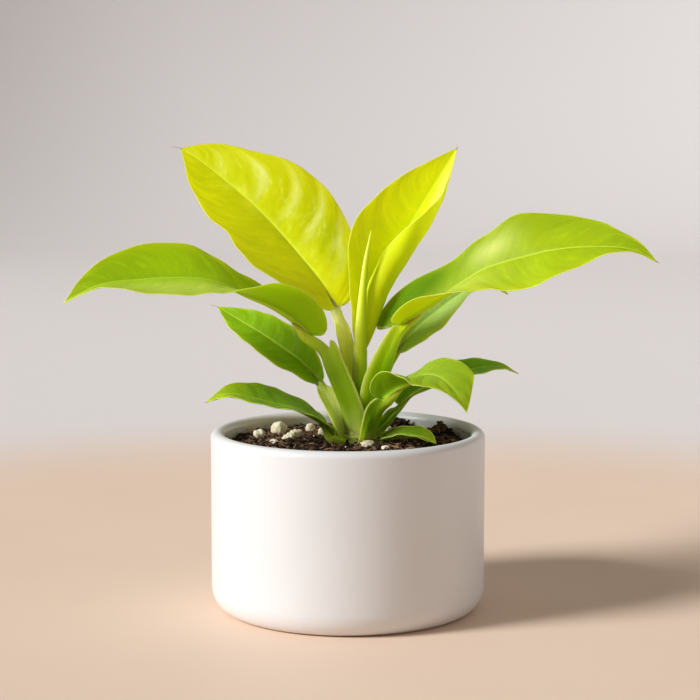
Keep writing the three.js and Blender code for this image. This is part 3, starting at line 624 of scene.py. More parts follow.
class Shell:
    """One closed surface of a piece: its points, faces, values at the points, UV and finish number."""

    def __init__(self, points, faces, values=None, uv=None, finish=0):
        self.points = np.asarray(points, float).reshape(-1, 3)
        self.faces = faces
        self.values = {
            key: np.broadcast_to(value, len(self.points)) for key, value in (values or {}).items()}
        self.uv = np.zeros((len(self.points), 2)) if uv is None else np.asarray(uv).reshape(-1, 2)
        self.finish = finish


def capped_tube(rings, values=None, uv=None, finish=0):
    """A closed tube over rings x sides points, with its poles in the middles of its end rings. The rings
    run so that the faces point outwards."""
    count, sides = rings.shape[:2]
    points = np.concatenate((rings.reshape(-1, 3), rings[:1].mean(1), rings[-1:].mean(1)))

    def ends(value):
        """A value at every point; a pole takes that of its ring's first point."""
        value = np.broadcast_to(value, (count, sides))
        return np.concatenate((value.ravel(), value[:1, 0], value[-1:, 0]))

    spread = {key: ends(value) for key, value in (values or {}).items()}
    if uv is not None:
        uv = np.stack([ends(uv[..., n]) for n in range(2)], -1)
    return Shell(points, closed_faces(count, sides), spread, uv, finish)


def lathe(profile, sides, wobble, seed, **values):
    """The profile, (radius, height) from bottom axis to top axis, turned round +Z; its first and last
    points lie on the axis. A slow noise moves the others in and out by up to wobble."""
    profile = np.asarray(profile, float)
    angle = circle(sides)
    middle = profile[1:-1]
    ring = np.stack((np.cos(angle), np.sin(angle)), -1)
    heights = np.broadcast_to(middle[:, None, 1:], (len(middle), sides, 1))
    points = np.concatenate((middle[:, None, :1] * ring[None], heights), -1)
    away = np.concatenate((ring, np.zeros((sides, 1))), -1)
    points = points + away * (wobble * Noise(seed)(points, size=30))[..., None]
    poles = np.array([[0, 0, profile[0, 1]], [0, 0, profile[-1, 1]]])
    points = np.concatenate((points.reshape(-1, 3), poles))
    return Shell(points, closed_faces(len(middle), sides), values)


def ball(rows, sides):
    """Points of a unit sphere from its lower to its upper pole, (cos a sin b, sin a sin b, -cos b), and the
    faces between them."""
    b = np.linspace(0, np.pi, rows + 1)[1:-1, None]
    a = circle(sides)[None, :]
    grid = np.stack((np.cos(a) * np.sin(b), np.sin(a) * np.sin(b), -np.cos(b) + 0 * a), -1)
    points = np.concatenate((grid.reshape(-1, 3), [[0, 0, -1], [0, 0, 1]]))
    return points, closed_faces(rows - 1, sides)


def copies(faces, places, values):
    """One shell of many bodies with the same faces. places is bodies x points x 3, and values has one number
    for each body."""
    count, size = places.shape[:2]
    offset = (np.arange(count) * size)[:, None, None]
    joined = [(face[None] + offset).reshape(-1, face.shape[1]) for face in faces]
    return Shell(places, joined, {key: np.repeat(value, size) for key, value in values.items()})


def turned(seed, count):
    """Random rotation matrices: three unit vectors from random ones, each made square to those before."""
    random = np.random.default_rng(seed).normal(size=(count, 3, 3))
    a = unit(random[:, 0])
    b = unit(random[:, 1] - (random[:, 1] * a).sum(-1, keepdims=True) * a)
    return np.stack((a, b, np.cross(a, b)), 1)


def make_piece(name, shells, finishes, nodes=(), uv_name="UVMap"):
    """Joins the shells into one smooth mesh in metres, with their values as attributes, and lets it ride."""
    sizes = [len(shell.points) for shell in shells]
    starts = np.concatenate(([0], np.cumsum(sizes)[:-1]))
    points = np.concatenate([shell.points for shell in shells]) * MM
    faces, numbers = [], []
    for shell, start in zip(shells, starts):
        for group in shell.faces:
            faces.extend((group + start).tolist())
            numbers.extend([shell.finish] * len(group))
    mesh = bpy.data.meshes.new(name)
    mesh.from_pydata(points.tolist(), [], faces)
    mesh.polygons.foreach_set("material_index", numbers)
    mesh.polygons.foreach_set("use_smooth", np.ones(len(faces), bool))
    for key in sorted({key for shell in shells for key in shell.values}):
        joined = [shell.values.get(key, np.zeros(size)) for shell, size in zip(shells, sizes)]
        attribute = mesh.attributes.new(key, "FLOAT", "POINT")
        attribute.data.foreach_set("value", np.concatenate(joined).astype(np.float32))
    corners = np.zeros(len(mesh.loops), np.int32)
    mesh.loops.foreach_get("vertex_index", corners)
    uv = np.concatenate([shell.uv for shell in shells])[corners]
    mesh.uv_layers.new(name=uv_name).data.foreach_set("uv", uv.astype(np.float32).ravel())
    for finish in finishes:
        mesh.materials.append(finish)
    mesh.update()
    piece = bpy.data.objects.new(name, mesh)
    bpy.context.scene.collection.objects.link(piece)
    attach(piece, "root")
    if nodes:
        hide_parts(*nodes)


# Finishes

def linear(colour):
    """An sRGB colour, of 0 to 1 or of 0 to 255, as the linear RGBA that a socket holds: c / 12.92 up to
    0.04045, and ((c + 0.055) / 1.055)^2.4 above."""
    shares = np.array(list(colour)[:3], float)
    if shares.max() > 1:
        shares = shares / 255
    values = np.where(shares <= 0.04045, shares / 12.92, ((shares + 0.055) / 1.055) ** 2.4)
    return (*values.tolist(), 1.0)


class Signal:
    """A value in a finish's node tree. Arithmetic on it adds Math nodes."""

    def __init__(self, finish, socket):
        self.finish = finish
        self.socket = socket

    def math(self, operation, *values):
        """One Math node on these numbers and Signals."""
        return self.finish.node("ShaderNodeMath", {"operation": operation}, dict(enumerate(values)))

    def __add__(self, other):
        return self.math("ADD", self, other)

    def __sub__(self, other):
        return self.math("SUBTRACT", self, other)

    def __rsub__(self, other):
        return self.math("SUBTRACT", other, self)

    def __mul__(self, other):
        return self.math("MULTIPLY", self, other)

    def __truediv__(self, other):
        return self.math("DIVIDE", self, other)

    def __rtruediv__(self, other):
        return self.math("DIVIDE", other, self)

    def __pow__(self, other):
        return self.math("POWER", self, other)

    def __rpow__(self, other):
        return self.math("POWER", other, self)

    __radd__ = __add__
    __rmul__ = __mul__

    def step(self, low, high):
        """0 at low and 1 at high, smooth in between."""
        return self.finish.node(
            "ShaderNodeMapRange", {"interpolation_type": "SMOOTHSTEP"},
            {"Value": self, "From Min": low, "From Max": high, "To Min": 0.0, "To Max": 1.0})

    def wave(self, cycles=1.0):
        """0.5 + 0.5 cos(2 pi cycles x)."""
        return self.math("COSINE", self * (2 * math.pi * cycles)) * 0.5 + 0.5


class Finish:
    """A material built from nodes: node() adds one, and set() feeds the surface's sockets."""

    def __init__(self, name, **constants):
        self.material = bpy.data.materials.new(name)
        self.material.use_nodes = True
        self.tree = self.material.node_tree
        self.surface = self.tree.nodes["Principled BSDF"]
        for key, value in constants.items():
            self.surface.inputs[key.replace("_", " ")].default_value = value

    def node(self, kind, settings=None, inputs=None, output=0):
        """Adds a node, sets it, then feeds its inputs with values or Signals, and returns one output."""
        added = self.tree.nodes.new(kind)
        for key, value in (settings or {}).items():
            setattr(added, key, value)
        for key, value in (inputs or {}).items():
            if isinstance(value, Signal):
                self.tree.links.new(value.socket, added.inputs[key])
            else:
                added.inputs[key].default_value = value
        return Signal(self, added.outputs[output])

    def place(self):
        """Where a point is, in the piece's own coordinates, in metres."""
        return self.node("ShaderNodeTexCoord", output="Object")

    def coordinate(self, axis):
        """The X, Y or Z of place."""
        return self.node("ShaderNodeSeparateXYZ", None, {"Vector": self.place()}, output=axis)

    def from_axis(self):
        """How far place is from the upright through the origin: the length of (x, y, 0)."""
        level = self.node(
            "ShaderNodeVectorMath", {"operation": "MULTIPLY"}, {0: self.place(), 1: (1, 1, 0)})
        return self.node("ShaderNodeVectorMath", {"operation": "LENGTH"}, {0: level}, output="Value")

    def value(self, name):
        """A value that the mesh holds at its points."""
        return self.node("ShaderNodeAttribute", {"attribute_name": name}, output="Fac")

    def noise(self, scale, detail, roughness=0.5, vector=None):
        """Noise from 0 to 1 over place or over another vector; scale counts its bumps per metre."""
        return self.node(
            "ShaderNodeTexNoise", None,
            {"Vector": vector or self.place(), "Scale": scale, "Detail": detail, "Roughness": roughness})

    def mix(self, factor, first, second, blend="MIX"):
        """The first colour at factor 0 and the second at 1."""
        return self.node(
            "ShaderNodeMix", {"data_type": "RGBA", "blend_type": blend},
            {MIX_FACTOR: factor, MIX_FIRST: first, MIX_SECOND: second}, output=MIX_RESULT)

    def bump(self, height, distance, strength):
        """A normal tilted by height, where distance is in metres."""
        return self.node(
            "ShaderNodeBump", None, {"Height": height, "Distance": distance, "Strength": strength})

    def set(self, **sockets):
        """Links the Signals to the surface's sockets and returns the finished material."""
        for key, value in sockets.items():
            self.tree.links.new(value.socket, self.surface.inputs[key.replace("_", " ")])
        return self.material


def brightness(colour, factor):
    """A linear colour times a factor."""
    return (*(min(1.0, channel * factor) for channel in colour[:3]), 1.0)


def glaze_finish(pot, soil):
    """Satin white glaze: faint cloudiness and fine relief, bare clay below, and on the inside soil stains,
    made stronger on the left as part painted shade, and a tan painted shade on the left, away from the key
    light."""
    finish = Finish("satin glaze", IOR=1.5, Coat_Weight=0.15, Coat_Roughness=0.22)
    white = linear(pot.glaze)
    cloud = finish.noise(28, 3, 0.55)
    colour = finish.mix(cloud.step(0.3, 0.75), white, brightness(white, 0.985))
    upright = finish.coordinate("Z")
    bore = pot.radius - pot.wall
    inside = 1 - finish.from_axis().step(bore + 0.0004, bore + 0.0022)
    near = 1 - upright.step(soil.level - 0.001, soil.level + 0.0035)
    # The left of the inside faces away from the key light: painted shade there, as a tan tint and as stronger
    # soil stains
    shaded_left = finish.coordinate("X").step(0.03, -0.04)
    stain = finish.noise(260, 4, 0.7).step(0.42, 0.62) * near * inside * (shaded_left * 0.5 + 0.35)
    colour = finish.mix(stain, colour, linear(soil.light))
    # Tan painted shade on the inner left wall
    tan_shade = finish.noise(90, 2).step(0.2, 0.7) * inside * shaded_left * 0.4
    colour = finish.mix(tan_shade, colour, linear(TAN_SHADE))
    bare = 1 - upright.step(0.0004, 0.0009)
    colour = finish.mix(bare, colour, linear(BARE_CLAY))
    fine = finish.noise(900, 2, 0.6)
    rough = pot.roughness + (cloud - 0.5) * 0.1 + bare * 0.4 + stain * 0.4
    height = fine * 0.35 + finish.noise(140, 3) * 0.65
    return finish.set(Base_Color=colour, Roughness=rough, Normal=finish.bump(height, 0.00006, 0.6))


def soil_finish(soil, name="damp soil", spread=0.5):
    """Potting mix: dark and damp, with paler dry specks, and the tone of each crumb."""
    finish = Finish(name, IOR=1.4, Specular_IOR_Level=0.3)
    tone = finish.value("tone")
    grain = finish.noise(1100, 5, 0.7)
    patch = finish.noise(160, 3, 0.6)
    dark = linear(soil.dark)
    colour = finish.mix(patch.step(0.35, 0.7), brightness(dark, 0.7), brightness(dark, 1.5))
    colour = finish.mix(grain.step(0.56, 0.72) * spread, colour, linear(soil.light))
    colour = finish.mix(tone, colour, linear(soil.light))
    rough = 0.95 - grain.step(0.6, 0.3) * 0.25
    return finish.set(Base_Color=colour, Roughness=rough, Normal=finish.bump(grain, 0.0004, 0.9))


def fibre_finish(soil):
    """Fibres and bark: long grain, from dark brown to tan by the tone of each strand."""
    finish = Finish("bark fibre", IOR=1.4, Specular_IOR_Level=0.3)
    tone = finish.value("tone")
    grain = finish.noise(900, 4, 0.65)
    colour = finish.mix(tone, brightness(linear(soil.dark), 1.6), linear(soil.fibre))
    colour = finish.mix(grain.step(0.4, 0.7) * 0.4, colour, linear(soil.light))
    return finish.set(Base_Color=colour, Roughness=grain * 0.2 + 0.75, Normal=finish.bump(grain, 0.0002, 0.8))


def pumice_finish(pumice, soil):
    """Pumice: cream with painted shade in its pores, stained and dusted with soil low down."""
    finish = Finish("pumice", IOR=1.45, Specular_IOR_Level=0.35)
    cream = linear(pumice.cream)
    cloud = finish.noise(240, 3, 0.6)
    colour = finish.mix(cloud.step(0.4, 0.75), cream, linear(WORN_PUMICE))
    pores = finish.node(
        "ShaderNodeTexVoronoi", {"feature": "F1"}, {"Vector": finish.place(), "Scale": 1300.0},
        output="Distance")
    holes = 1 - pores.step(0.12, 0.34)
    # Painted shade in the pores: their colour darkened
    colour = finish.mix(holes * 0.6, colour, linear(pumice.stain))
    low = 1 - finish.value("height").step(0.1, 0.5)
    dust = finish.noise(900, 4, 0.7).step(0.5, 0.66)
    colour = finish.mix(dust * (low * 0.8 + 0.12), colour, linear(soil.light))
    height = finish.noise(1600, 4, 0.7) - holes * 0.7
    rough = cloud * 0.1 + 0.85
    return finish.set(Base_Color=colour, Roughness=rough, Normal=finish.bump(height, 0.0003, 0.8))


def blade_finish(name, colours, leaves):
    """A leaf blade: colour from base to tip, mottled in marks that run with the side veins, with painted
    shade in patches of deep green and painted sheen in pale patches and bands, and a pale midrib, side veins
    and margin."""
    finish = Finish(
        name, IOR=1.42, Specular_IOR_Level=0.15, Subsurface_Weight=0.9, Subsurface_Radius=(1.0, 1.0, 0.12),
        Subsurface_Scale=0.0025)
    base, middle, tip, under = (linear(colour) for colour in colours)
    along, rib, edge = finish.value("along"), finish.value("rib"), finish.value("edge")
    vein, below, dark = finish.value("vein"), finish.value("below"), finish.value("deep")
    colour = finish.mix(along.step(0.0, 0.45), base, middle)
    colour = finish.mix(along.step(0.55, 1.0), colour, tip)

    # Clouds and flecks, and light and dark marks, which are fine across the side veins and long along them
    cloud = finish.noise(70, 3, 0.55)
    colour = finish.mix(cloud.step(0.35, 0.75) * 0.4, colour, brightness(middle, 0.85))
    flecks = finish.noise(1500, 3, 0.65)
    colour = finish.mix(flecks.step(0.5, 0.75) * 0.25, colour, brightness(middle, 1.25))
    flow = finish.node("ShaderNodeCombineXYZ", None, {"X": vein * 3.2, "Y": rib * 0.11, "Z": along})
    marks = finish.noise(1.0, 4, 0.6, flow)
    colour = finish.mix(marks.step(0.52, 0.72) * 0.45, colour, brightness(middle, 1.3))
    colour = finish.mix((1 - marks.step(0.3, 0.5)) * 0.4, colour, brightness(middle, 0.78))

    # Side veins: the narrow crests of waves across them, five small ones to a main one
    main_veins = vein.wave() ** 30.0
    small_veins = (vein + cloud * 0.25).wave(5.0) ** 5.0
    fade = 1 - rib.step(0.0, 5.0) * 0.6
    pale = finish.mix(0.45, brightness(middle, 1.25), linear(leaves.vein))
    colour = finish.mix(small_veins * 0.05 * fade, colour, pale)
    colour = finish.mix(main_veins * 0.14 * fade, colour, pale)

    # Painted shade in patches of deep green, and painted sheen, whole or in pale highlight bands along the
    # side veins
    deep = tuple(channel * share for channel, share in zip(middle[:3], SHADE_SHARES)) + (1.0,)
    colour = finish.mix(dark * (cloud * 0.5 + 0.75), colour, deep)
    # Painted sheen: pale patches, and, for streak, pale highlight bands along the side veins where the pleats
    # would catch the key light
    bands = (vein + cloud * 0.35).wave() ** 6.0 * 0.7 + marks.step(0.5, 0.7) * 0.6
    light = finish.value("pale") * (flecks * 0.8 + 0.6) + finish.value("streak") * bands
    colour = finish.mix(light, colour, linear(leaves.sheen))
    colour = finish.mix(below, colour, under)

    # Midrib, which narrows towards the tip, and margin
    width = 1.0 - along * 0.6
    midrib = 1 - (rib / width).step(0.35, 1.25)
    colour = finish.mix(midrib * 0.75, colour, pale)
    margin = 1 - edge.step(leaves.margin / MM * 0.35, leaves.margin / MM * 1.4)
    colour = finish.mix(margin * 0.45, colour, linear(leaves.edge))
    rough = 0.38 + cloud * 0.1 + below * 0.16 + dark * 0.4
    height = small_veins * -0.2 - main_veins * 0.45 + finish.noise(2600, 2, 0.6) * 0.3 + flecks * 0.4
    return finish.set(Base_Color=colour, Roughness=rough, Normal=finish.bump(height, 0.00012, 0.7))


def stalk_finish(name, colour, top, dry, leaves):
    """A stalk: pale at the foot, green where it is sheathed, paler above, with long streaks, thin pale edges
    on its wings and, by dry, papery brown tips on them."""
    finish = Finish(
        name, IOR=1.42, Specular_IOR_Level=0.16, Subsurface_Weight=0.85, Subsurface_Radius=(1.0, 1.1, 0.15),
        Subsurface_Scale=0.0035)
    along, wing = finish.value("along"), finish.value("wing")
    green = linear(colour)
    body = finish.mix(along.step(0.0, 0.3), linear(leaves.stalk_foot), green)
    body = finish.mix(along.step(0.45, 0.95), body, linear(top))
    papery = wing.step(0.3, 0.9) * along.step(0.3, 0.5) * dry
    body = finish.mix(papery, body, linear(PAPERY))
    stretch = finish.node(
        "ShaderNodeMapping", {"vector_type": "POINT"}, {"Vector": finish.place(), "Scale": (1, 1, 0.12)})
    streak = finish.noise(900, 3, 0.6, stretch)
    body = finish.mix(streak.step(0.4, 0.7) * 0.5, body, STREAK_TINT, "MULTIPLY")
    body = finish.mix(wing.step(0.75, 1.0) * 0.5, body, linear(leaves.edge))
    dirt = finish.noise(500, 4, 0.7).step(0.5, 0.65) * (1 - along.step(0.0, 0.14))
    body = finish.mix(dirt * 0.6, body, linear(SOIL_DUST))
    rough = streak * 0.12 + 0.36
    return finish.set(Base_Color=body, Roughness=rough, Normal=finish.bump(streak, 0.0001, 0.6))


def dry_finish():
    """Dried, papery tips and scales: tan with brown fibres."""
    finish = Finish("dried tip", IOR=1.4)
    streak = finish.noise(1500, 3, 0.6)
    colour = finish.mix(streak.step(0.3, 0.7), linear(DRY_PALE), linear(DRY_BROWN))
    rough = streak * 0.2 + 0.6
    return finish.set(Base_Color=colour, Roughness=rough, Normal=finish.bump(streak, 0.0001, 0.5))


def crown_finish(leaves):
    """The crown: pale green, with brown rings where older leaves stood."""
    finish = Finish(
        "crown", IOR=1.42, Subsurface_Weight=0.3, Subsurface_Radius=(0.9, 1.1, 0.3), Subsurface_Scale=0.001)
    ring = finish.value("ring")
    patch = finish.noise(420, 4, 0.65)
    colour = finish.mix(patch.step(0.4, 0.7), linear(leaves.stalk_foot), linear(leaves.stalk_top))
    colour = finish.mix(ring * patch.step(0.4, 0.6), colour, linear(SCAR))
    colour = finish.mix(finish.noise(700, 3, 0.6).step(0.62, 0.68) * 0.8, colour, linear(SCAR_DEEP))
    rough = patch * 0.25 + 0.45
    return finish.set(Base_Color=colour, Roughness=rough, Normal=finish.bump(patch, 0.0004, 0.7))


def stage_finish(stage):
    """Pale warm floor that turns into the pale grey backdrop with distance, with painted light that makes the
    backdrop brighter near the floor and darker further off.
    """
    finish = Finish("pale stage")
    radius = finish.from_axis()
    faint = finish.noise(9, 2, 0.5)
    floor = finish.mix(faint.step(0.3, 0.7), linear(stage.floor), brightness(linear(stage.floor), 0.97))
    backdrop = linear(stage.backdrop)
    # Painted light on the backdrop: brighter near the floor, falling off with distance
    wall = finish.mix(radius.step(*BACKDROP_FADE), brightness(backdrop, 1.24), brightness(backdrop, 0.95))
    colour = finish.mix(radius.step(*FLOOR_FADE), floor, wall)
    return finish.set(Base_Color=colour, Roughness=faint * 0.1 + 0.6)


# Pot

def arc(centre, radii, degrees):
    """Points (x + a cos t, z + b sin t) of an ellipse about (x, z) with radii (a, b), for t in degrees."""
    t = np.radians(degrees)
    return np.stack((centre[0] + radii[0] * np.cos(t), centre[1] + radii[1] * np.sin(t)), -1)


def straight(radius, start, end, count=24):
    """count points at one radius, even between two heights and without these."""
    return np.stack((np.full(count, radius), np.linspace(start, end, count + 2)[1:-1]), -1)


def pot_profile(pot):
    """Flat underside with a shallow recess, rounded foot, upright wall, half-round lip, rounded inside."""
    radius, height, wall = pot.radius / MM, pot.height / MM, pot.wall / MM
    foot, floor = pot.foot_radius / MM, pot.floor / MM
    recess, bend = 0.5, 8
    corner = radius - foot
    rise = corner * 1.35
    lip = wall / 2
    inner = radius - wall
    underside = [(0, recess), (foot - 9, recess), (foot - 8.4, 0.4), (foot - 8, 0), (foot - 4, 0)]
    outer = arc((foot, rise), (corner, rise), np.linspace(-90, 0, 22))
    rim = arc((radius - lip, height - lip), (lip, lip), np.linspace(0, 180, 30))
    bowl = arc((inner - bend, floor + bend), (bend, bend), np.linspace(0, -90, 12))
    outside = straight(radius, rise, height - lip)
    inside = straight(inner, height - lip, floor + bend)
    return np.concatenate((underside, outer, outside, rim, inside, bowl, [(0, floor)]))


def make_pot(settings):
    """The pot's profile turned round, not quite evenly."""
    finish = glaze_finish(settings.pot, settings.soil)
    shell = lathe(pot_profile(settings.pot), sides=224, wobble=0.12, seed=SEEDS["pot"])
    make_piece("glazed_pot", [shell], [finish], ["pot"])


# Soil

COARSE = Noise(SEEDS["coarse_soil"])
FINE = Noise(SEEDS["fine_soil"])
SOIL_LUMPS = ((COARSE, 6, 0.7), (FINE, 3, 0.45))  # noise, size and height


def inner_radius(pot):
    """Radius of the inside of the pot's wall, in millimetres."""
    return (pot.radius - pot.wall) / MM


def on_ground(x, y):
    """The points (x, y, 0)."""
    return np.stack((x, y, np.zeros_like(x)), -1)


def soil_height(x, y, soil):
    """The level, a bell h exp(-(d / r)^2) around the crown and at each clod, and the noise of the lumps."""
    cx, cy = CROWN_PLACE
    reach = soil.mound_radius / MM
    z = soil.level / MM + soil.mound / MM * np.exp(-((x - cx) ** 2 + (y - cy) ** 2) / reach**2)
    for px, py, height, radius in SOIL_CLODS:
        z = z + height * np.exp(-((x - px) ** 2 + (y - py) ** 2) / radius**2)
    for noise, size, height in SOIL_LUMPS:
        z = z + height * noise(on_ground(x, y), size)
    return z


def crumbly(x, y):
    """Crumb relief: creased noise, 1 - 2|n|, at three sizes."""
    place = on_ground(x, y)
    return sum(height * (1 - 2 * np.abs(FINE(place + size, size))) for size, height in CRUMB_RELIEF)


def make_soil(settings):
    """Rings from the wall to the middle, lifted by soil_height and crumbly, above three rings that follow
    the inside of the pot down to its floor."""
    pot, soil = settings.pot, settings.soil
    radius = inner_radius(pot) - SOIL_GAP
    floor = pot.floor / MM + SOIL_GAP
    rings, sectors = 118, 336
    share = np.linspace(1, 0, rings + 1)[:-1] ** 0.8
    angle = circle(sectors)
    x = radius * share[:, None] * np.cos(angle)
    y = radius * share[:, None] * np.sin(angle)
    top = np.stack((x, y, soil_height(x, y, soil) + crumbly(x, y)), -1)
    below = [(radius - inwards, floor + up) for inwards, up in SOIL_BELOW]
    sides = np.stack([
        np.stack((r * np.cos(angle), r * np.sin(angle), np.full(sectors, z)), -1) for r, z in below])
    body = capped_tube(np.concatenate((sides, top)), {"tone": 0.0})
    make_piece("soil_bed", [body], [soil_finish(soil)], ["potting_soil"])


def scattered(random, count, radius, soil, lift=0.0):
    """Points on the soil, even over the disc: radius sqrt(a) at a random angle, at the soil's height."""
    r = radius * np.sqrt(random.uniform(0, 1, count))
    a = random.uniform(0, 2 * np.pi, count)
    x, y = r * np.cos(a), r * np.sin(a)
    return np.stack((x, y, soil_height(x, y, soil) + lift), -1)


def lumps(seed, places, sizes, rough, flatness):
    """Small irregular lumps: a ball of 20 points, each pushed in or out by up to rough, then squashed and
    turned. Gives the faces of one and the points of all."""
    template, faces = ball(*LUMP_GRID)
    count = len(places)
    random = np.random.default_rng(seed)
    push = 1 + rough * random.uniform(-1, 1, (count, len(template), 1))
    stretch = np.stack((
        np.ones(count), random.uniform(0.6, 1, count), flatness * random.uniform(0.7, 1.1, count)), -1)
    body = template[None] * push * stretch[:, None] * sizes[:, None, None] / 2
    return faces, np.einsum("nij,njk->nik", body, turned(seed + 1, count)) + places[:, None]


def wall_specks(pot, soil, random, count):
    """Places of specks on the inside of the wall, denser close to the soil: their height above it is a power
    of an even draw."""
    a = random.uniform(0, 2 * np.pi, count)
    z = soil.level / MM + 0.5 + 4.5 * random.uniform(0, 1, count) ** 2.2
    r = inner_radius(pot) - 0.15
    return np.stack((r * np.cos(a), r * np.sin(a), z), -1)


def make_crumbs(settings):
    """Crumbs over the whole soil, with more of them on its two high clods, specks on the wall, and the
    chips. Small crumbs are the most common: their sizes are a power of an even draw."""
    pot, soil = settings.pot, settings.soil
    radius = inner_radius(pot) - 1.2
    per_clod = 90
    random = np.random.default_rng(SEEDS["crumbs"])
    sizes = 0.8 + 3.2 * random.uniform(0, 1, soil.crumbs) ** 2.4
    places = scattered(random, soil.crumbs, radius - 0.6, soil)
    places[:, 2] += sizes * 0.22
    clods, clod_sizes = [], []
    for px, py, _, reach in SOIL_CLODS[:2]:
        x = px + reach * 0.55 * random.normal(size=per_clod)
        y = py + reach * 0.55 * random.normal(size=per_clod)
        z = soil_height(x, y, soil) + random.uniform(-0.2, 1.3, per_clod)
        keep = np.hypot(x, y) < radius - 0.8
        clods.append(np.stack((x, y, z), -1)[keep])
        clod_sizes.append((1.0 + 2.2 * random.uniform(0, 1, per_clod) ** 2)[keep])
    specks = wall_specks(pot, soil, random, count=150)
    speck_sizes = random.uniform(0.3, 0.9, len(specks))
    places = np.concatenate((places, *clods, specks))
    sizes = np.concatenate((sizes, *clod_sizes, speck_sizes))
    tones = random.uniform(0, 1, len(places)) ** 3.2 * 0.95
    crumbs = lumps(SEEDS["crumb_shapes"], places, sizes, rough=0.22, flatness=0.75)
    shell = copies(*crumbs, {"tone": tones})
    make_piece("soil_crumbs", [shell], [soil_finish(soil, "soil crumbs", 0.7)])
    make_chips(soil, radius - 1.5)


def make_chips(soil, radius):
    """Bark chips: balls squared off by sign(x) |x|^0.55, drawn flat, and laid down at any heading with a
    little tilt."""
    count = soil.chips
    random = np.random.default_rng(SEEDS["chips"])
    places = scattered(random, count, radius, soil, lift=0.5)
    template, faces = ball(*LUMP_GRID)
    halves = ((0.8, 2.6), (0.5, 1.2), (0.15, 0.4))
    half = np.stack([random.uniform(least, most, count) for least, most in halves], -1)
    shapes = np.sign(template) * np.abs(template) ** 0.55
    heading = random.uniform(0, 2 * np.pi, count)
    c, s, zero = np.cos(heading), np.sin(heading), np.zeros(count)
    rows = ((c, s, zero), (-s, c, zero), (zero, zero, zero + 1))
    spin = np.stack([np.stack(row, -1) for row in rows], 1)
    matrix = unit(spin + 0.22 * turned(SEEDS["chip_tilts"], count))
    shapes = np.einsum("nij,njk->nik", shapes[None] * half[:, None], matrix) + places[:, None]
    shell = copies(faces, shapes, {"tone": random.uniform(0, 1, count) ** 1.5})
    make_piece("bark_chips", [shell], [fibre_finish(soil)])


def make_fibres(settings):
    """Strands that lie on the soil: their heading turns evenly and wavers by a sine, and a thin tube follows
    it, thinner towards its ends. One that would pass the wall is pulled in."""
    pot, soil = settings.pot, settings.soil
    random = np.random.default_rng(SEEDS["fibres"])
    count, steps, sides = soil.fibres, 11, 5
    radius = inner_radius(pot) - 2.5
    start = scattered(random, count, radius - 4, soil)
    length = random.uniform(2.5, 9, count)
    t = np.linspace(-0.5, 0.5, steps)[None, :]
    heading = random.uniform(0, 2 * np.pi, count)[:, None] + random.normal(0, 0.9, count)[:, None] * t
    heading = heading + 0.35 * np.sin(9 * t + random.uniform(0, 6, count)[:, None])
    step = (length / (steps - 1))[:, None]
    x = start[:, :1] + np.cumsum(np.cos(heading) * step, axis=1)
    y = start[:, 1:2] + np.cumsum(np.sin(heading) * step, axis=1)
    pull = np.minimum(1, radius / np.maximum(np.hypot(x, y), 1e-6))
    x, y = x * pull, y * pull
    lift = random.uniform(0.4, 1.3, count)[:, None] + random.uniform(0, 1.6, count)[:, None] * (t + 0.5) ** 2
    path = np.stack((x, y, soil_height(x, y, soil) + lift), -1)
    thick = random.uniform(0.12, 0.4, count)[:, None] * (1 - 0.6 * np.abs(2 * t) ** 3)
    along = unit(np.gradient(path, axis=1))
    side = unit(np.cross(along, np.broadcast_to([0.0, 0.0, 1.0], along.shape)))
    up = np.cross(side, along)
    a = circle(sides)
    ring = np.cos(a)[:, None] * side[:, :, None] + np.sin(a)[:, None] * up[:, :, None]
    rings = path[:, :, None] + ring * thick[:, :, None, None]
    poles = [rings[:, end].mean(1)[:, None] for end in (0, -1)]
    points = np.concatenate((rings.reshape(count, -1, 3), *poles), 1)
    faces = [face[:, ::-1] for face in closed_faces(steps, sides)]
    shell = copies(faces, points, {"tone": random.uniform(0, 1, count) ** 1.2})
    make_piece("soil_fibres", [shell], [fibre_finish(soil)])


# Pumice

def grain_shell(grain, seed, pores):
    """A ball with slow bulges, waists between the knobs along its length and small pits, all of which change
    its radius. It is squared off by sign(x) |x|^0.85, stretched, turned and set in place."""
    x, y, z, long, wide, high, turn, knobs, tilt = grain
    points, faces = ball(rows=46, sides=72)
    noise = Noise(seed)
    radial = 1 + 0.16 * noise(points + 3, 0.8) + 0.09 * noise(points + 9, 0.4)
    if knobs:
        waists = 0.13 * np.cos(np.pi * knobs * points[:, 0]) ** 2 * (1 - np.abs(points[:, 0]) ** 3)
        radial = radial * (1 - waists)
    pits = np.clip(noise(points + 5, 0.16) - 0.35, 0, 1) + 0.6 * np.clip(noise(points + 2, 0.09) - 0.3, 0, 1)
    radial = radial - 2.2 * pores * pits + 0.014 * noise(points, 0.06)
    shape = np.sign(points) * np.abs(points) ** 0.85 * radial[:, None] * np.array([long, wide, high]) / 2
    a = math.radians(turn)
    b = math.radians(tilt)
    tip = np.array([[math.cos(b), 0, math.sin(b)], [0, 1, 0], [-math.sin(b), 0, math.cos(b)]])
    matrix = tip @ np.array([[math.cos(a), math.sin(a), 0], [-math.sin(a), math.cos(a), 0], [0, 0, 1]])
    return Shell(shape @ matrix + (x, y, z), faces, {"height": (points[:, 2] + 1) / 2})


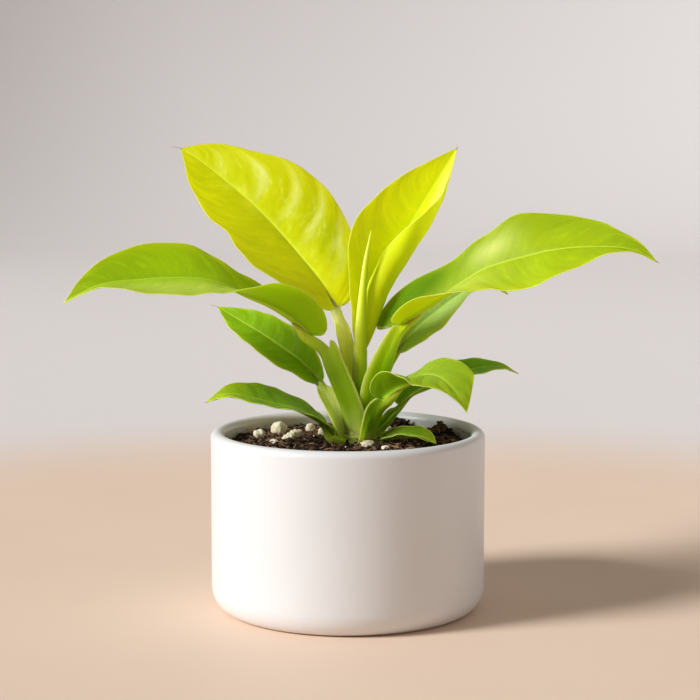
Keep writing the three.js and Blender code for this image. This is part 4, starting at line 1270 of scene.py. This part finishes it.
def make_pumice(settings):
    """The grains that the frame has, and small bits strewn between them."""
    pot, soil, pumice = settings.pot, settings.soil, settings.pumice
    finish = pumice_finish(pumice, soil)
    for number, grain in enumerate(PUMICE_GRAINS, 1):
        shell = grain_shell(grain, SEEDS["grains"] + number, pumice.pores)
        make_piece(f"pumice_grain_{number}", [shell], [finish], [f"pumice_{number}"])
    random = np.random.default_rng(SEEDS["bits"])
    places = scattered(random, soil.bits, inner_radius(pot) - 3, soil, lift=0.35)
    sizes = 0.9 + 1.7 * random.uniform(0, 1, soil.bits) ** 2
    bits = lumps(SEEDS["bit_shapes"], places, sizes, rough=0.16, flatness=0.9)
    shell = copies(*bits, {"height": np.full(soil.bits, 0.7)})
    make_piece("pumice_bits", [shell], [finish])


# Leaves

def blade_values(leaf, rows, columns):
    """The blade's upper side and what its finish reads. At u from base to tip and v from left to right
    margin, each half is an arc of the half width that leaves the midrib at its rise and bends on by its
    curl; near the base the arc's foot lies back along the midrib by lobe (1 - u / LOBE_END)^2 |v| (2 - |v|).
    vein rises by 1 from one main side vein to the next, and veins slant on towards the tip as |v| grows."""
    line = Line(leaf["blade"])
    half_columns = crowded(columns, share=0.62)
    u = crowded(rows, share=0.5)[:, None]
    v = np.concatenate((-half_columns[:0:-1], half_columns))[None, :]
    u, v = np.broadcast_arrays(u, v)
    reach = np.abs(v)
    lobe = np.where(v < 0, leaf["lobe"][0], leaf["lobe"][1])
    back = lobe * (1 - np.clip(u / LOBE_END, 0, 1)) ** 2 * reach * (2 - reach)
    place, direction = line.at(u * line.length - back)
    up, side = frame_of(direction, spline(leaf["face"], u))

    def by_half(key):
        """The leaf's numbers along the blade: the left half's where v < 0, and the right half's elsewhere."""
        left, right = (spline(leaf.get(key + half_name, (0, 0)), u) for half_name in ("left", "right"))
        return np.where(v < 0, left, right)

    rounding = 0.45 + 0.55 * np.sqrt(1 - (1 - np.clip(u / ROUND_END, 0, 1)) ** 2)
    half = np.maximum(by_half(""), LEAST_HALF) * rounding
    rise = np.radians(by_half("rise_"))
    curl = np.radians(by_half("curl_"))
    curl = np.where(np.abs(curl) < LEAST_CURL, LEAST_CURL, curl)
    across = half * (np.sin(rise + curl * reach) - np.sin(rise)) / curl
    lift = half * (np.cos(rise) - np.cos(rise + curl * reach)) / curl
    points = place + side * (np.sign(v) * across)[..., None] + up * lift[..., None]

    width = max(leaf["left"] + leaf["right"]) / line.length
    slant = width * (0.33 * reach + 0.47 * reach**4)
    phase = leaf["veins"] * 1.7 + np.where(v < 0, 0.37, 0.0)
    vein = leaf["veins"] * (u + 0.018 * np.sin(13 * u + 2.5 * phase) - slant) + phase

    def patches(key):
        """The sum of strength exp(-((u - u0) / du)^2 - ((v - v0) / dv)^2) over the leaf's soft patches."""
        bells = (
            strength * np.exp(-(((u - u0) / du) ** 2) - ((v - v0) / dv) ** 2)
            for u0, v0, du, dv, strength in leaf.get(key, ()))
        return sum(bells, np.zeros(u.shape))

    values = {
        "along": u,
        "across": v,
        # Soft patches of painted sheen, of painted shade and of painted highlight bands
        "pale": patches("pale"),
        "deep": patches("deep"),
        "streak": patches("streak"),
        "rib": reach * half,
        "edge": np.minimum((1 - reach) * half, u * line.length + 4 * (1 - smooth((reach - 0.12) / 0.25))),
        "vein": vein,
        "reach": reach,
    }
    uv = np.stack((u * line.length / UV_SPAN, 0.5 + v * half / UV_SPAN), -1)
    return points, values, uv


def blade_relief(leaf, values, groove):
    """How far the upper side stands above the smooth blade: pleats, -pleat cos(2 pi vein), which die out at
    the midrib, a groove exp(-(rib / 0.9)^2) over the midrib, and a slow ripple along the margin."""
    reach, u = values["reach"], values["along"]
    belly = smooth(reach / 0.45) * (1 - 0.55 * smooth((reach - 0.55) / 0.45)) * smooth((1 - u) / 0.12)
    uneven = 0.75 + 0.25 * np.sin(5.3 * values["vein"] + 1.3)
    pleat = np.where(values["across"] < 0, leaf["pleat"][0], leaf["pleat"][1])
    folds = np.cos(2 * np.pi * values["vein"]) + 0.25 * np.cos(6 * np.pi * values["vein"])
    pleats = -pleat * belly * uneven * folds
    valley = -groove * (1 - 0.7 * u) * np.exp(-((values["rib"] / 0.9) ** 2))
    ripple = 0.28 * reach**4 * smooth((1 - u) / 0.15) * np.sin(2 * np.pi * (0.8 * values["vein"] + 0.2))
    return pleats + valley + ripple


def blade_shell(leaf, leaves):
    """A closed blade: the relieved upper side, the underside a thickness below it with the midrib standing
    out by MIDRIB_DEPTH (1 - u) exp(-(v / 0.12)^2), and a rounded edge all the way round."""
    rows = int(Line(leaf["blade"]).length / ROW_STEP)
    columns = int(max(LEAST_COLUMNS, max(leaf["left"] + leaf["right"]) / COLUMN_STEP))
    points, values, uv = blade_values(leaf, rows, columns)
    points = points + normals_of(points) * blade_relief(leaf, values, leaves.groove / MM)[..., None]
    normal = normals_of(points)
    reach, u = values["reach"], values["along"]
    to_margin = 1 - 0.45 * smooth((reach - 0.6) / 0.4)
    to_tip = 1 - 0.3 * smooth((u - 0.8) / 0.2)
    thick = leaves.thickness / MM * to_margin * to_tip
    thick = thick + MIDRIB_DEPTH * (1 - u) * np.exp(-((reach / 0.12) ** 2))
    lower = points - normal * thick[..., None]
    middle = (points + lower) / 2
    n = columns * 2

    def rim(edge, inner):
        """Points half a thickness outside an edge."""
        return middle[edge] + unit(middle[edge] - middle[inner]) * (thick[edge] / 2)[..., None]

    right = rim(np.s_[:, -1], np.s_[:, -2])
    left = rim(np.s_[:, 0], np.s_[:, 1])
    loop = np.concatenate((points, right[:, None], lower[:, ::-1], left[:, None]), 1)
    sides = loop.shape[1]
    base = rim(np.s_[0], np.s_[1])[1:-1]
    tip = rim(np.s_[-1], np.s_[-2])[1:-1]
    all_points = np.concatenate((loop.reshape(-1, 3), base, tip))
    total = (rows + 1) * sides

    def end_faces(first, extra, outward):
        """The strips between the upper edge, the rim points and the lower edge at one end of the blade."""
        upper_row = first + np.arange(n + 1)
        lower_row = first + (2 * n + 2) - np.arange(n + 1)
        rim_row = np.concatenate(([first + sides - 1], extra + np.arange(n - 1), [first + n + 1]))
        strips = []
        for a, b in ((upper_row, rim_row), (rim_row, lower_row)):
            quads = np.stack((a[1:], a[:-1], b[:-1], b[1:]), -1)
            strips.append(quads if outward else quads[:, ::-1])
        return np.concatenate(strips)

    def spread(value):
        """The upper side's values at all points: both sides with their rims, then the rims of the ends."""
        around = np.concatenate((value, value[:, -1:], value[:, ::-1], value[:, :1]), 1)
        return np.concatenate((around.reshape(-1, *value.shape[2:]), value[0, 1:-1], value[-1, 1:-1]))

    under = np.zeros((rows + 1, sides))
    under[:, n + 1] = under[:, -1] = RIM_BELOW
    under[:, n + 2:-1] = 1
    below = np.concatenate((under.ravel(), np.full(2 * (n - 1), RIM_BELOW)))
    faces = [
        ring_faces(rows + 1, sides),
        end_faces(0, total, True),
        end_faces(rows * sides, total + n - 1, False),
    ]
    kept = {key: spread(values[key]) for key in ("along", "rib", "edge", "vein", "pale", "deep", "streak")}
    return Shell(all_points, faces, {**kept, "below": below}, spread(uv), BLADE)


def stalk_section(radius, wing, spread):
    """Points round each ring of a stalk: a groove above, a wing on each side of it, and a round belly. A wing
    is an arc whose heading turns evenly from the first angle of spread to the second, and has a half-round
    edge. wing holds the height of the left and of the right one. Gives rings x points x 2, (sideways, up),
    and how far out on its wing each point is."""
    r = radius[:, None]
    groove_points, wing_points, cap_points, belly_points = 6, 9, 5, 12
    halves, reaches = [], []
    for height in wing:
        opened = np.clip(height / radius, 0, 1)[:, None]

        def polar(degrees, share=1.0):
            """Points at these angles from up, at a share of the radius."""
            a = np.radians(degrees)[None, :]
            return np.stack((np.sin(a) * r * share, np.cos(a) * r * share), -1)

        shares = np.linspace(0, 1, groove_points)[None, :]
        depth = (0.9 - 0.55 * opened) * (1 - shares) + (1 - 0.35 * opened) * shares
        groove = polar(np.linspace(0, 40, groove_points), depth)
        t = np.linspace(0, 1, wing_points)
        heading = np.radians(spread[0] + (spread[1] - spread[0]) * t)
        out = np.stack((np.sin(heading), np.cos(heading)), -1)
        steps = (out[1:] + out[:-1]) / 2 / (wing_points - 1)
        path = np.concatenate(([[0, 0]], np.cumsum(steps, axis=0)))
        path = polar(np.array([WING_ANGLE])) + path[None] * np.maximum(height, WING_LEAST)[:, None, None]
        inward = np.stack((-out[:, 1], out[:, 0]), -1)[None]
        turn = np.radians(np.linspace(90, -90, cap_points))[None, :, None]
        cap = path[:, -1:] + WING_THICK * (np.sin(turn) * inward[:, -1:] + np.cos(turn) * out[None, -1:])
        inner = path[:, 1:-1] + inward[:, 1:-1] * WING_THICK
        outer = (path[:, 1:-1] - inward[:, 1:-1] * WING_THICK)[:, ::-1]
        belly = polar(np.linspace(105, 180, belly_points))
        halves.append(np.concatenate((groove, inner, cap, outer, belly), 1))
        reach = np.concatenate((
            np.zeros(groove_points), t[1:-1], np.ones(cap_points), t[-2:0:-1], np.zeros(belly_points)))
        reaches.append(reach * opened)
    left, right = halves
    section = np.concatenate((right, left[:, -2:0:-1] * np.array([-1, 1])), 1)
    for _ in range(3):
        section = 0.5 * section + 0.25 * (np.roll(section, 1, 1) + np.roll(section, -1, 1))
    return section, np.concatenate((reaches[1], reaches[0][:, -2:0:-1]), 1)


def stalk_shell(leaf, seed):
    """The stalk's section carried from the crown to the blade, and on under the blade as its midrib, where it
    tapers. It turns from the side that the sheath opens to, to the blade's face. The wings run out by smooth
    at the sheath's end, where their tips lean forward by lean times the square of the reach."""
    blade = Line(leaf["blade"])
    blade_face = np.array(leaf["face"][0], float)
    foot_radius, top_radius = leaf["radius"]
    distance = np.array([0, 4, UNDER_BLADE], float)
    point, direction = blade.at(distance)
    up, _ = frame_of(direction, blade_face)
    lowered = top_radius * 0.8 * (1 - distance / 22) + 0.3
    line = Line([*leaf["stalk"], *(point - up * lowered[:, None])])
    top = line.length - UNDER_BLADE
    sheath = leaf.get("sheath", NO_SHEATH)
    end = sheath["until"] * top
    even = np.linspace(0, line.length, int(line.length / STALK_STEP))
    places = np.unique(np.concatenate((even, end - np.linspace(0, 4, 12))))
    places = places[places >= 0]
    point, direction = line.at(places)
    w = smooth(places / top)[:, None]
    opening = np.array(sheath.get("face", blade_face), float)
    up, side = frame_of(direction, unit(opening) * (1 - w) + unit(blade_face) * w)
    past = np.clip((places - top) / UNDER_BLADE, 0, 1)
    radius = (foot_radius + (top_radius - foot_radius) * np.clip(places / top, 0, 1)) * (1 - 0.65 * past)
    wing = spline(sheath["heights"], places / end) * smooth((end - places) / sheath.get("fade", 3.2))
    wing = np.where(places < end, wing, 0)
    section, reach = stalk_section(radius, [wing * share for share in sheath["sides"]], sheath["spread"])
    lean = sheath["lean"] * reach**2 * smooth((places / end - 0.6) / 0.4)[:, None]
    rings = point[:, None] + side[:, None] * section[..., :1] + up[:, None] * section[..., 1:]
    rings = rings + direction[:, None] * lean[..., None]
    outward = unit(rings - rings.mean(1, keepdims=True))
    rings = rings + outward * (0.07 * Noise(seed)(rings * (1, 1, 0.3), 1.6))[..., None]
    around = np.linspace(0, 1, rings.shape[1])[None, :] * np.ones((len(places), 1))
    uv = np.stack((places[:, None] / UV_SPAN + 0 * around, around * 0.15), -1)
    return capped_tube(rings, {"along": (places / line.length)[:, None], "wing": reach}, uv, STALK)


def hair_shell(leaf):
    """The drawn-out tip: a thin tube that tapers to a point and bends by the square of its length."""
    line = Line(leaf["blade"])
    length = leaf["hair"]
    point, direction = line.at(np.array([line.length - HAIR_ROOT]))
    up, side = frame_of(direction, np.array(leaf["face"][-1], float))
    t = np.linspace(0, 1, 14)[:, None]
    aside, lift = leaf.get("hair_bend", (0, 0))
    path = point + direction * t * (length + HAIR_ROOT) + up * (0.1 * length * t**2 - 0.2)
    path = path + np.array([aside, 0, lift]) * t**2
    a = circle(8)
    radius = HAIR_WIDTHS[0] * (1 - t) ** 0.7 + HAIR_WIDTHS[1]
    ring = np.cos(a)[None, :, None] * side[:, None] + np.sin(a)[None, :, None] * up[:, None]
    rings = path[:, None] + ring * radius[..., None]
    return capped_tube(rings[:, ::-1], finish=DRY)


def make_leaves(settings):
    """Each leaf: its blade, its stalk, and the hair at its tip where it has one."""
    leaves = settings.leaves
    dry = dry_finish()
    for number, (node, leaf) in enumerate(LEAVES.items()):
        name = node.replace("leaf_", "")
        blade = blade_finish(f"{name} blade", leaf["colours"], leaves)
        between = np.array(leaf["colours"][0]) * 0.5 + np.array(leaves.stalk) * 255 * 0.5
        green = leaf.get("stalk_green", between)
        top = leaf.get("stalk_top", np.array(leaves.stalk_top) * 255)
        stalk = stalk_finish(f"{name} stalk", green, top, leaf.get("dry", 0), leaves)
        shells = [blade_shell(leaf, leaves), stalk_shell(leaf, SEEDS["stalks"] + number)]
        if leaf["hair"]:
            shells.append(hair_shell(leaf))
        make_piece(f"{name}_leaf", shells, [blade, stalk, dry], [node], uv_name="leaf")


# New leaf and crown

def spear_shell():
    """A cone rolled from one leaf: the radius falls over a turn, so that the edge overlaps, and the turn
    starts further round higher up. Fine ribs run up it. It has painted light towards -X, the side of the key
    light, and painted shade towards +X."""
    line = Line(SPEAR_LINE)
    t = np.linspace(0, 1, 150)[:, None]
    turn = np.linspace(0, 1, 84)[None, :]
    point, direction = line.at(t[:, 0] * line.length)
    up, side = frame_of(direction, np.array([0.0, -1.0, 0.0]))
    radius = spline(SPEAR_RADIUS, t)
    overlap = ROLL_OVERLAP * radius / SPEAR_RADIUS[0]
    angle = 2 * np.pi * (turn + 0.15 + 0.1 * t)
    ribs = 0.035 * np.cos(angle * ROLL_RIBS) * smooth(radius / 3)
    lip = 0.16 * np.exp(-((turn / 0.03) ** 2)) * smooth(radius / 2)
    r = radius - overlap * turn + ribs + lip
    across = r * np.cos(angle)
    lift = -r * np.sin(angle)
    rings = point[:, None] + side[:, None] * across[..., None] + up[:, None] * lift[..., None]
    edge = turn * 2 * np.pi * radius
    aside = (rings - point[:, None])[..., 0] / radius
    # Painted light on the side towards the key light, and painted shade on the side away from it
    pale = 0.85 * np.clip(-aside, 0, 1) ** 2
    deep = 0.36 * np.clip(aside, 0, 1)
    values = {"along": t, "edge": edge, "vein": turn * 6 + 0.2 * t, "rib": 3.0, "pale": pale, "deep": deep}
    return capped_tube(rings, values)


def make_new_leaf(settings):
    """The roll, deeper at its foot and paler at its tip."""
    leaves = settings.leaves
    colour = np.array(leaves.new_leaf) * 255
    stages = [colour * ROLL_FOOT, colour, colour * ROLL_TIP, colour]
    finish = blade_finish("rolled leaf", stages, leaves)
    make_piece("rolled_new_leaf", [spear_shell()], [finish], ["new_leaf_spear"])


def make_crown(settings):
    """The crown's profile turned round, with low rings where older leaves stood."""
    sides = 84
    heights, radii = spline(CROWN_PROFILE, np.linspace(0, 1, 60)).T
    ring = 0.5 + 0.5 * np.cos(heights * 2 * np.pi / SCAR_STEP)
    radii = radii + SCAR_HEIGHT * ring
    outline = np.concatenate(([(0, heights[0])], np.stack((radii, heights), -1), [(0, heights[-1] + 0.5)]))
    scars = np.concatenate((np.repeat(1 - ring, sides), [0, 0]))
    shell = lathe(outline, sides, wobble=0.3, seed=SEEDS["crown"], ring=scars)
    shell.points += (*CROWN_PLACE, 0)
    make_piece("crown_body", [shell], [crown_finish(settings.leaves)], ["crown"])


# Stage

def make_stage(settings):
    """A round floor that curves up into a low wall all the way round, a soft key light from the left, light
    from all round, and the camera."""
    stage = settings.stage
    corner = arc((FLOOR_FLAT, BEND_RADIUS), (BEND_RADIUS, BEND_RADIUS), np.linspace(-90, 0, 14))
    flat_radii = np.linspace(0.05, FLOOR_FLAT, 12)
    radii = np.concatenate((flat_radii, corner[1:, 0], [FLOOR_FLAT + BEND_RADIUS]))[:, None]
    heights = np.concatenate((np.zeros(len(flat_radii)), corner[1:, 1], [WALL_TOP]))[:, None]
    angle = circle(STAGE_SIDES)
    grid = np.stack((radii * np.cos(angle), radii * np.sin(angle), heights + 0 * angle), -1)
    points = np.concatenate((grid.reshape(-1, 3), [[0, 0, 0]]))
    j = np.arange(STAGE_SIDES)
    middle = np.stack((j, (j + 1) % STAGE_SIDES, np.full(STAGE_SIDES, len(points) - 1)), -1)
    faces = ring_faces(len(radii), STAGE_SIDES)[:, ::-1].tolist() + middle.tolist()
    mesh = bpy.data.meshes.new("floor")
    mesh.from_pydata(points.tolist(), [], faces)
    mesh.polygons.foreach_set("use_smooth", np.ones(len(mesh.polygons), bool))
    mesh.materials.append(stage_finish(stage))
    floor = bpy.data.objects.new("floor", mesh)
    bpy.context.scene.collection.objects.link(floor)

    data = bpy.data.lights.new("key", "SUN")
    data.energy = stage.key
    data.angle = stage.key_width
    data.color = linear(DAYLIGHT)[:3]
    light = bpy.data.objects.new("key", data)
    light.rotation_euler = (math.pi / 2 - stage.key_height, 0, stage.key_turn - math.pi / 2)
    bpy.context.scene.collection.objects.link(light)

    world = bpy.data.worlds.new("soft light")
    world.use_nodes = True
    background = world.node_tree.nodes["Background"]
    background.inputs["Color"].default_value = linear(stage.fill_colour)
    background.inputs["Strength"].default_value = stage.fill
    bpy.context.scene.world = world
    bpy.context.scene.view_settings.view_transform = "Standard"

    camera = bpy.data.objects.new("camera", bpy.data.cameras.new("camera"))
    camera.data.lens = stage.lens
    camera.data.sensor_width = SENSOR_WIDTH
    camera.location = CAMERA_PLACE
    camera.rotation_euler = (math.pi / 2 - CAMERA_DIP, 0, 0)
    bpy.context.scene.collection.objects.link(camera)
    bpy.context.scene.camera = camera


# Operators, panel and registration

class PlantOperator:
    """What the operators share: each runs its make on the scene's settings."""

    bl_options = {"REGISTER", "UNDO"}

    def execute(self, context):
        type(self).make(context.scene.philodendron)
        return {"FINISHED"}


class PHILODENDRON_OT_pot(PlantOperator, bpy.types.Operator):
    """Make the glazed pot"""

    bl_idname = "philodendron.pot"
    bl_label = "Pot"
    make = staticmethod(make_pot)


class PHILODENDRON_OT_soil(PlantOperator, bpy.types.Operator):
    """Make the bed of soil"""

    bl_idname = "philodendron.soil"
    bl_label = "Soil"
    make = staticmethod(make_soil)


class PHILODENDRON_OT_crumbs(PlantOperator, bpy.types.Operator):
    """Strew crumbs and bark chips on the soil"""

    bl_idname = "philodendron.crumbs"
    bl_label = "Crumbs and Chips"
    make = staticmethod(make_crumbs)


class PHILODENDRON_OT_fibres(PlantOperator, bpy.types.Operator):
    """Strew fibres on the soil"""

    bl_idname = "philodendron.fibres"
    bl_label = "Fibres"
    make = staticmethod(make_fibres)


class PHILODENDRON_OT_pumice(PlantOperator, bpy.types.Operator):
    """Make the grains and bits of pumice"""

    bl_idname = "philodendron.pumice"
    bl_label = "Pumice"
    make = staticmethod(make_pumice)


class PHILODENDRON_OT_crown(PlantOperator, bpy.types.Operator):
    """Make the crown that the leaves grow from"""

    bl_idname = "philodendron.crown"
    bl_label = "Crown"
    make = staticmethod(make_crown)


class PHILODENDRON_OT_leaves(PlantOperator, bpy.types.Operator):
    """Make the leaves with their stalks"""

    bl_idname = "philodendron.leaves"
    bl_label = "Leaves"
    make = staticmethod(make_leaves)


class PHILODENDRON_OT_new_leaf(PlantOperator, bpy.types.Operator):
    """Make the rolled new leaf"""

    bl_idname = "philodendron.new_leaf"
    bl_label = "New Leaf"
    make = staticmethod(make_new_leaf)


class PHILODENDRON_OT_stage(PlantOperator, bpy.types.Operator):
    """Make the floor, lights and camera"""

    bl_idname = "philodendron.stage"
    bl_label = "Stage"
    make = staticmethod(make_stage)


OPERATORS = (
    PHILODENDRON_OT_pot, PHILODENDRON_OT_soil, PHILODENDRON_OT_crumbs, PHILODENDRON_OT_fibres,
    PHILODENDRON_OT_pumice, PHILODENDRON_OT_crown, PHILODENDRON_OT_leaves, PHILODENDRON_OT_new_leaf,
    PHILODENDRON_OT_stage,
)


class PHILODENDRON_PT_panel(bpy.types.Panel):
    """Lists the settings and the operators"""

    bl_label = "Potted Philodendron"
    bl_space_type = "VIEW_3D"
    bl_region_type = "UI"
    bl_category = "Philodendron"

    def draw(self, context):
        settings = context.scene.philodendron
        for part in ("pot", "soil", "pumice", "leaves", "stage"):
            box = self.layout.box()
            box.label(text=part.capitalize())
            group = getattr(settings, part)
            for key in group.bl_rna.properties.keys():
                if key not in ("rna_type", "name"):
                    box.prop(group, key)
        for operator in OPERATORS:
            self.layout.operator(operator.bl_idname)


CLASSES = (
    PotSettings, SoilSettings, PumiceSettings, LeafSettings, StageSettings, PlantSettings,
    *OPERATORS, PHILODENDRON_PT_panel,
)


def register():
    """Registers the classes and gives the scene its settings."""
    for cls in CLASSES:
        bpy.utils.register_class(cls)
    bpy.types.Scene.philodendron = bpy.props.PointerProperty(type=PlantSettings)


def unregister():
    """Takes the settings from the scene and unregisters the classes."""
    del bpy.types.Scene.philodendron
    for cls in reversed(CLASSES):
        bpy.utils.unregister_class(cls)


def main():
    register()
    for operator in OPERATORS:
        group, name = operator.bl_idname.split(".")
        getattr(getattr(bpy.ops, group), name)()


if __name__ == "__main__":
    main()
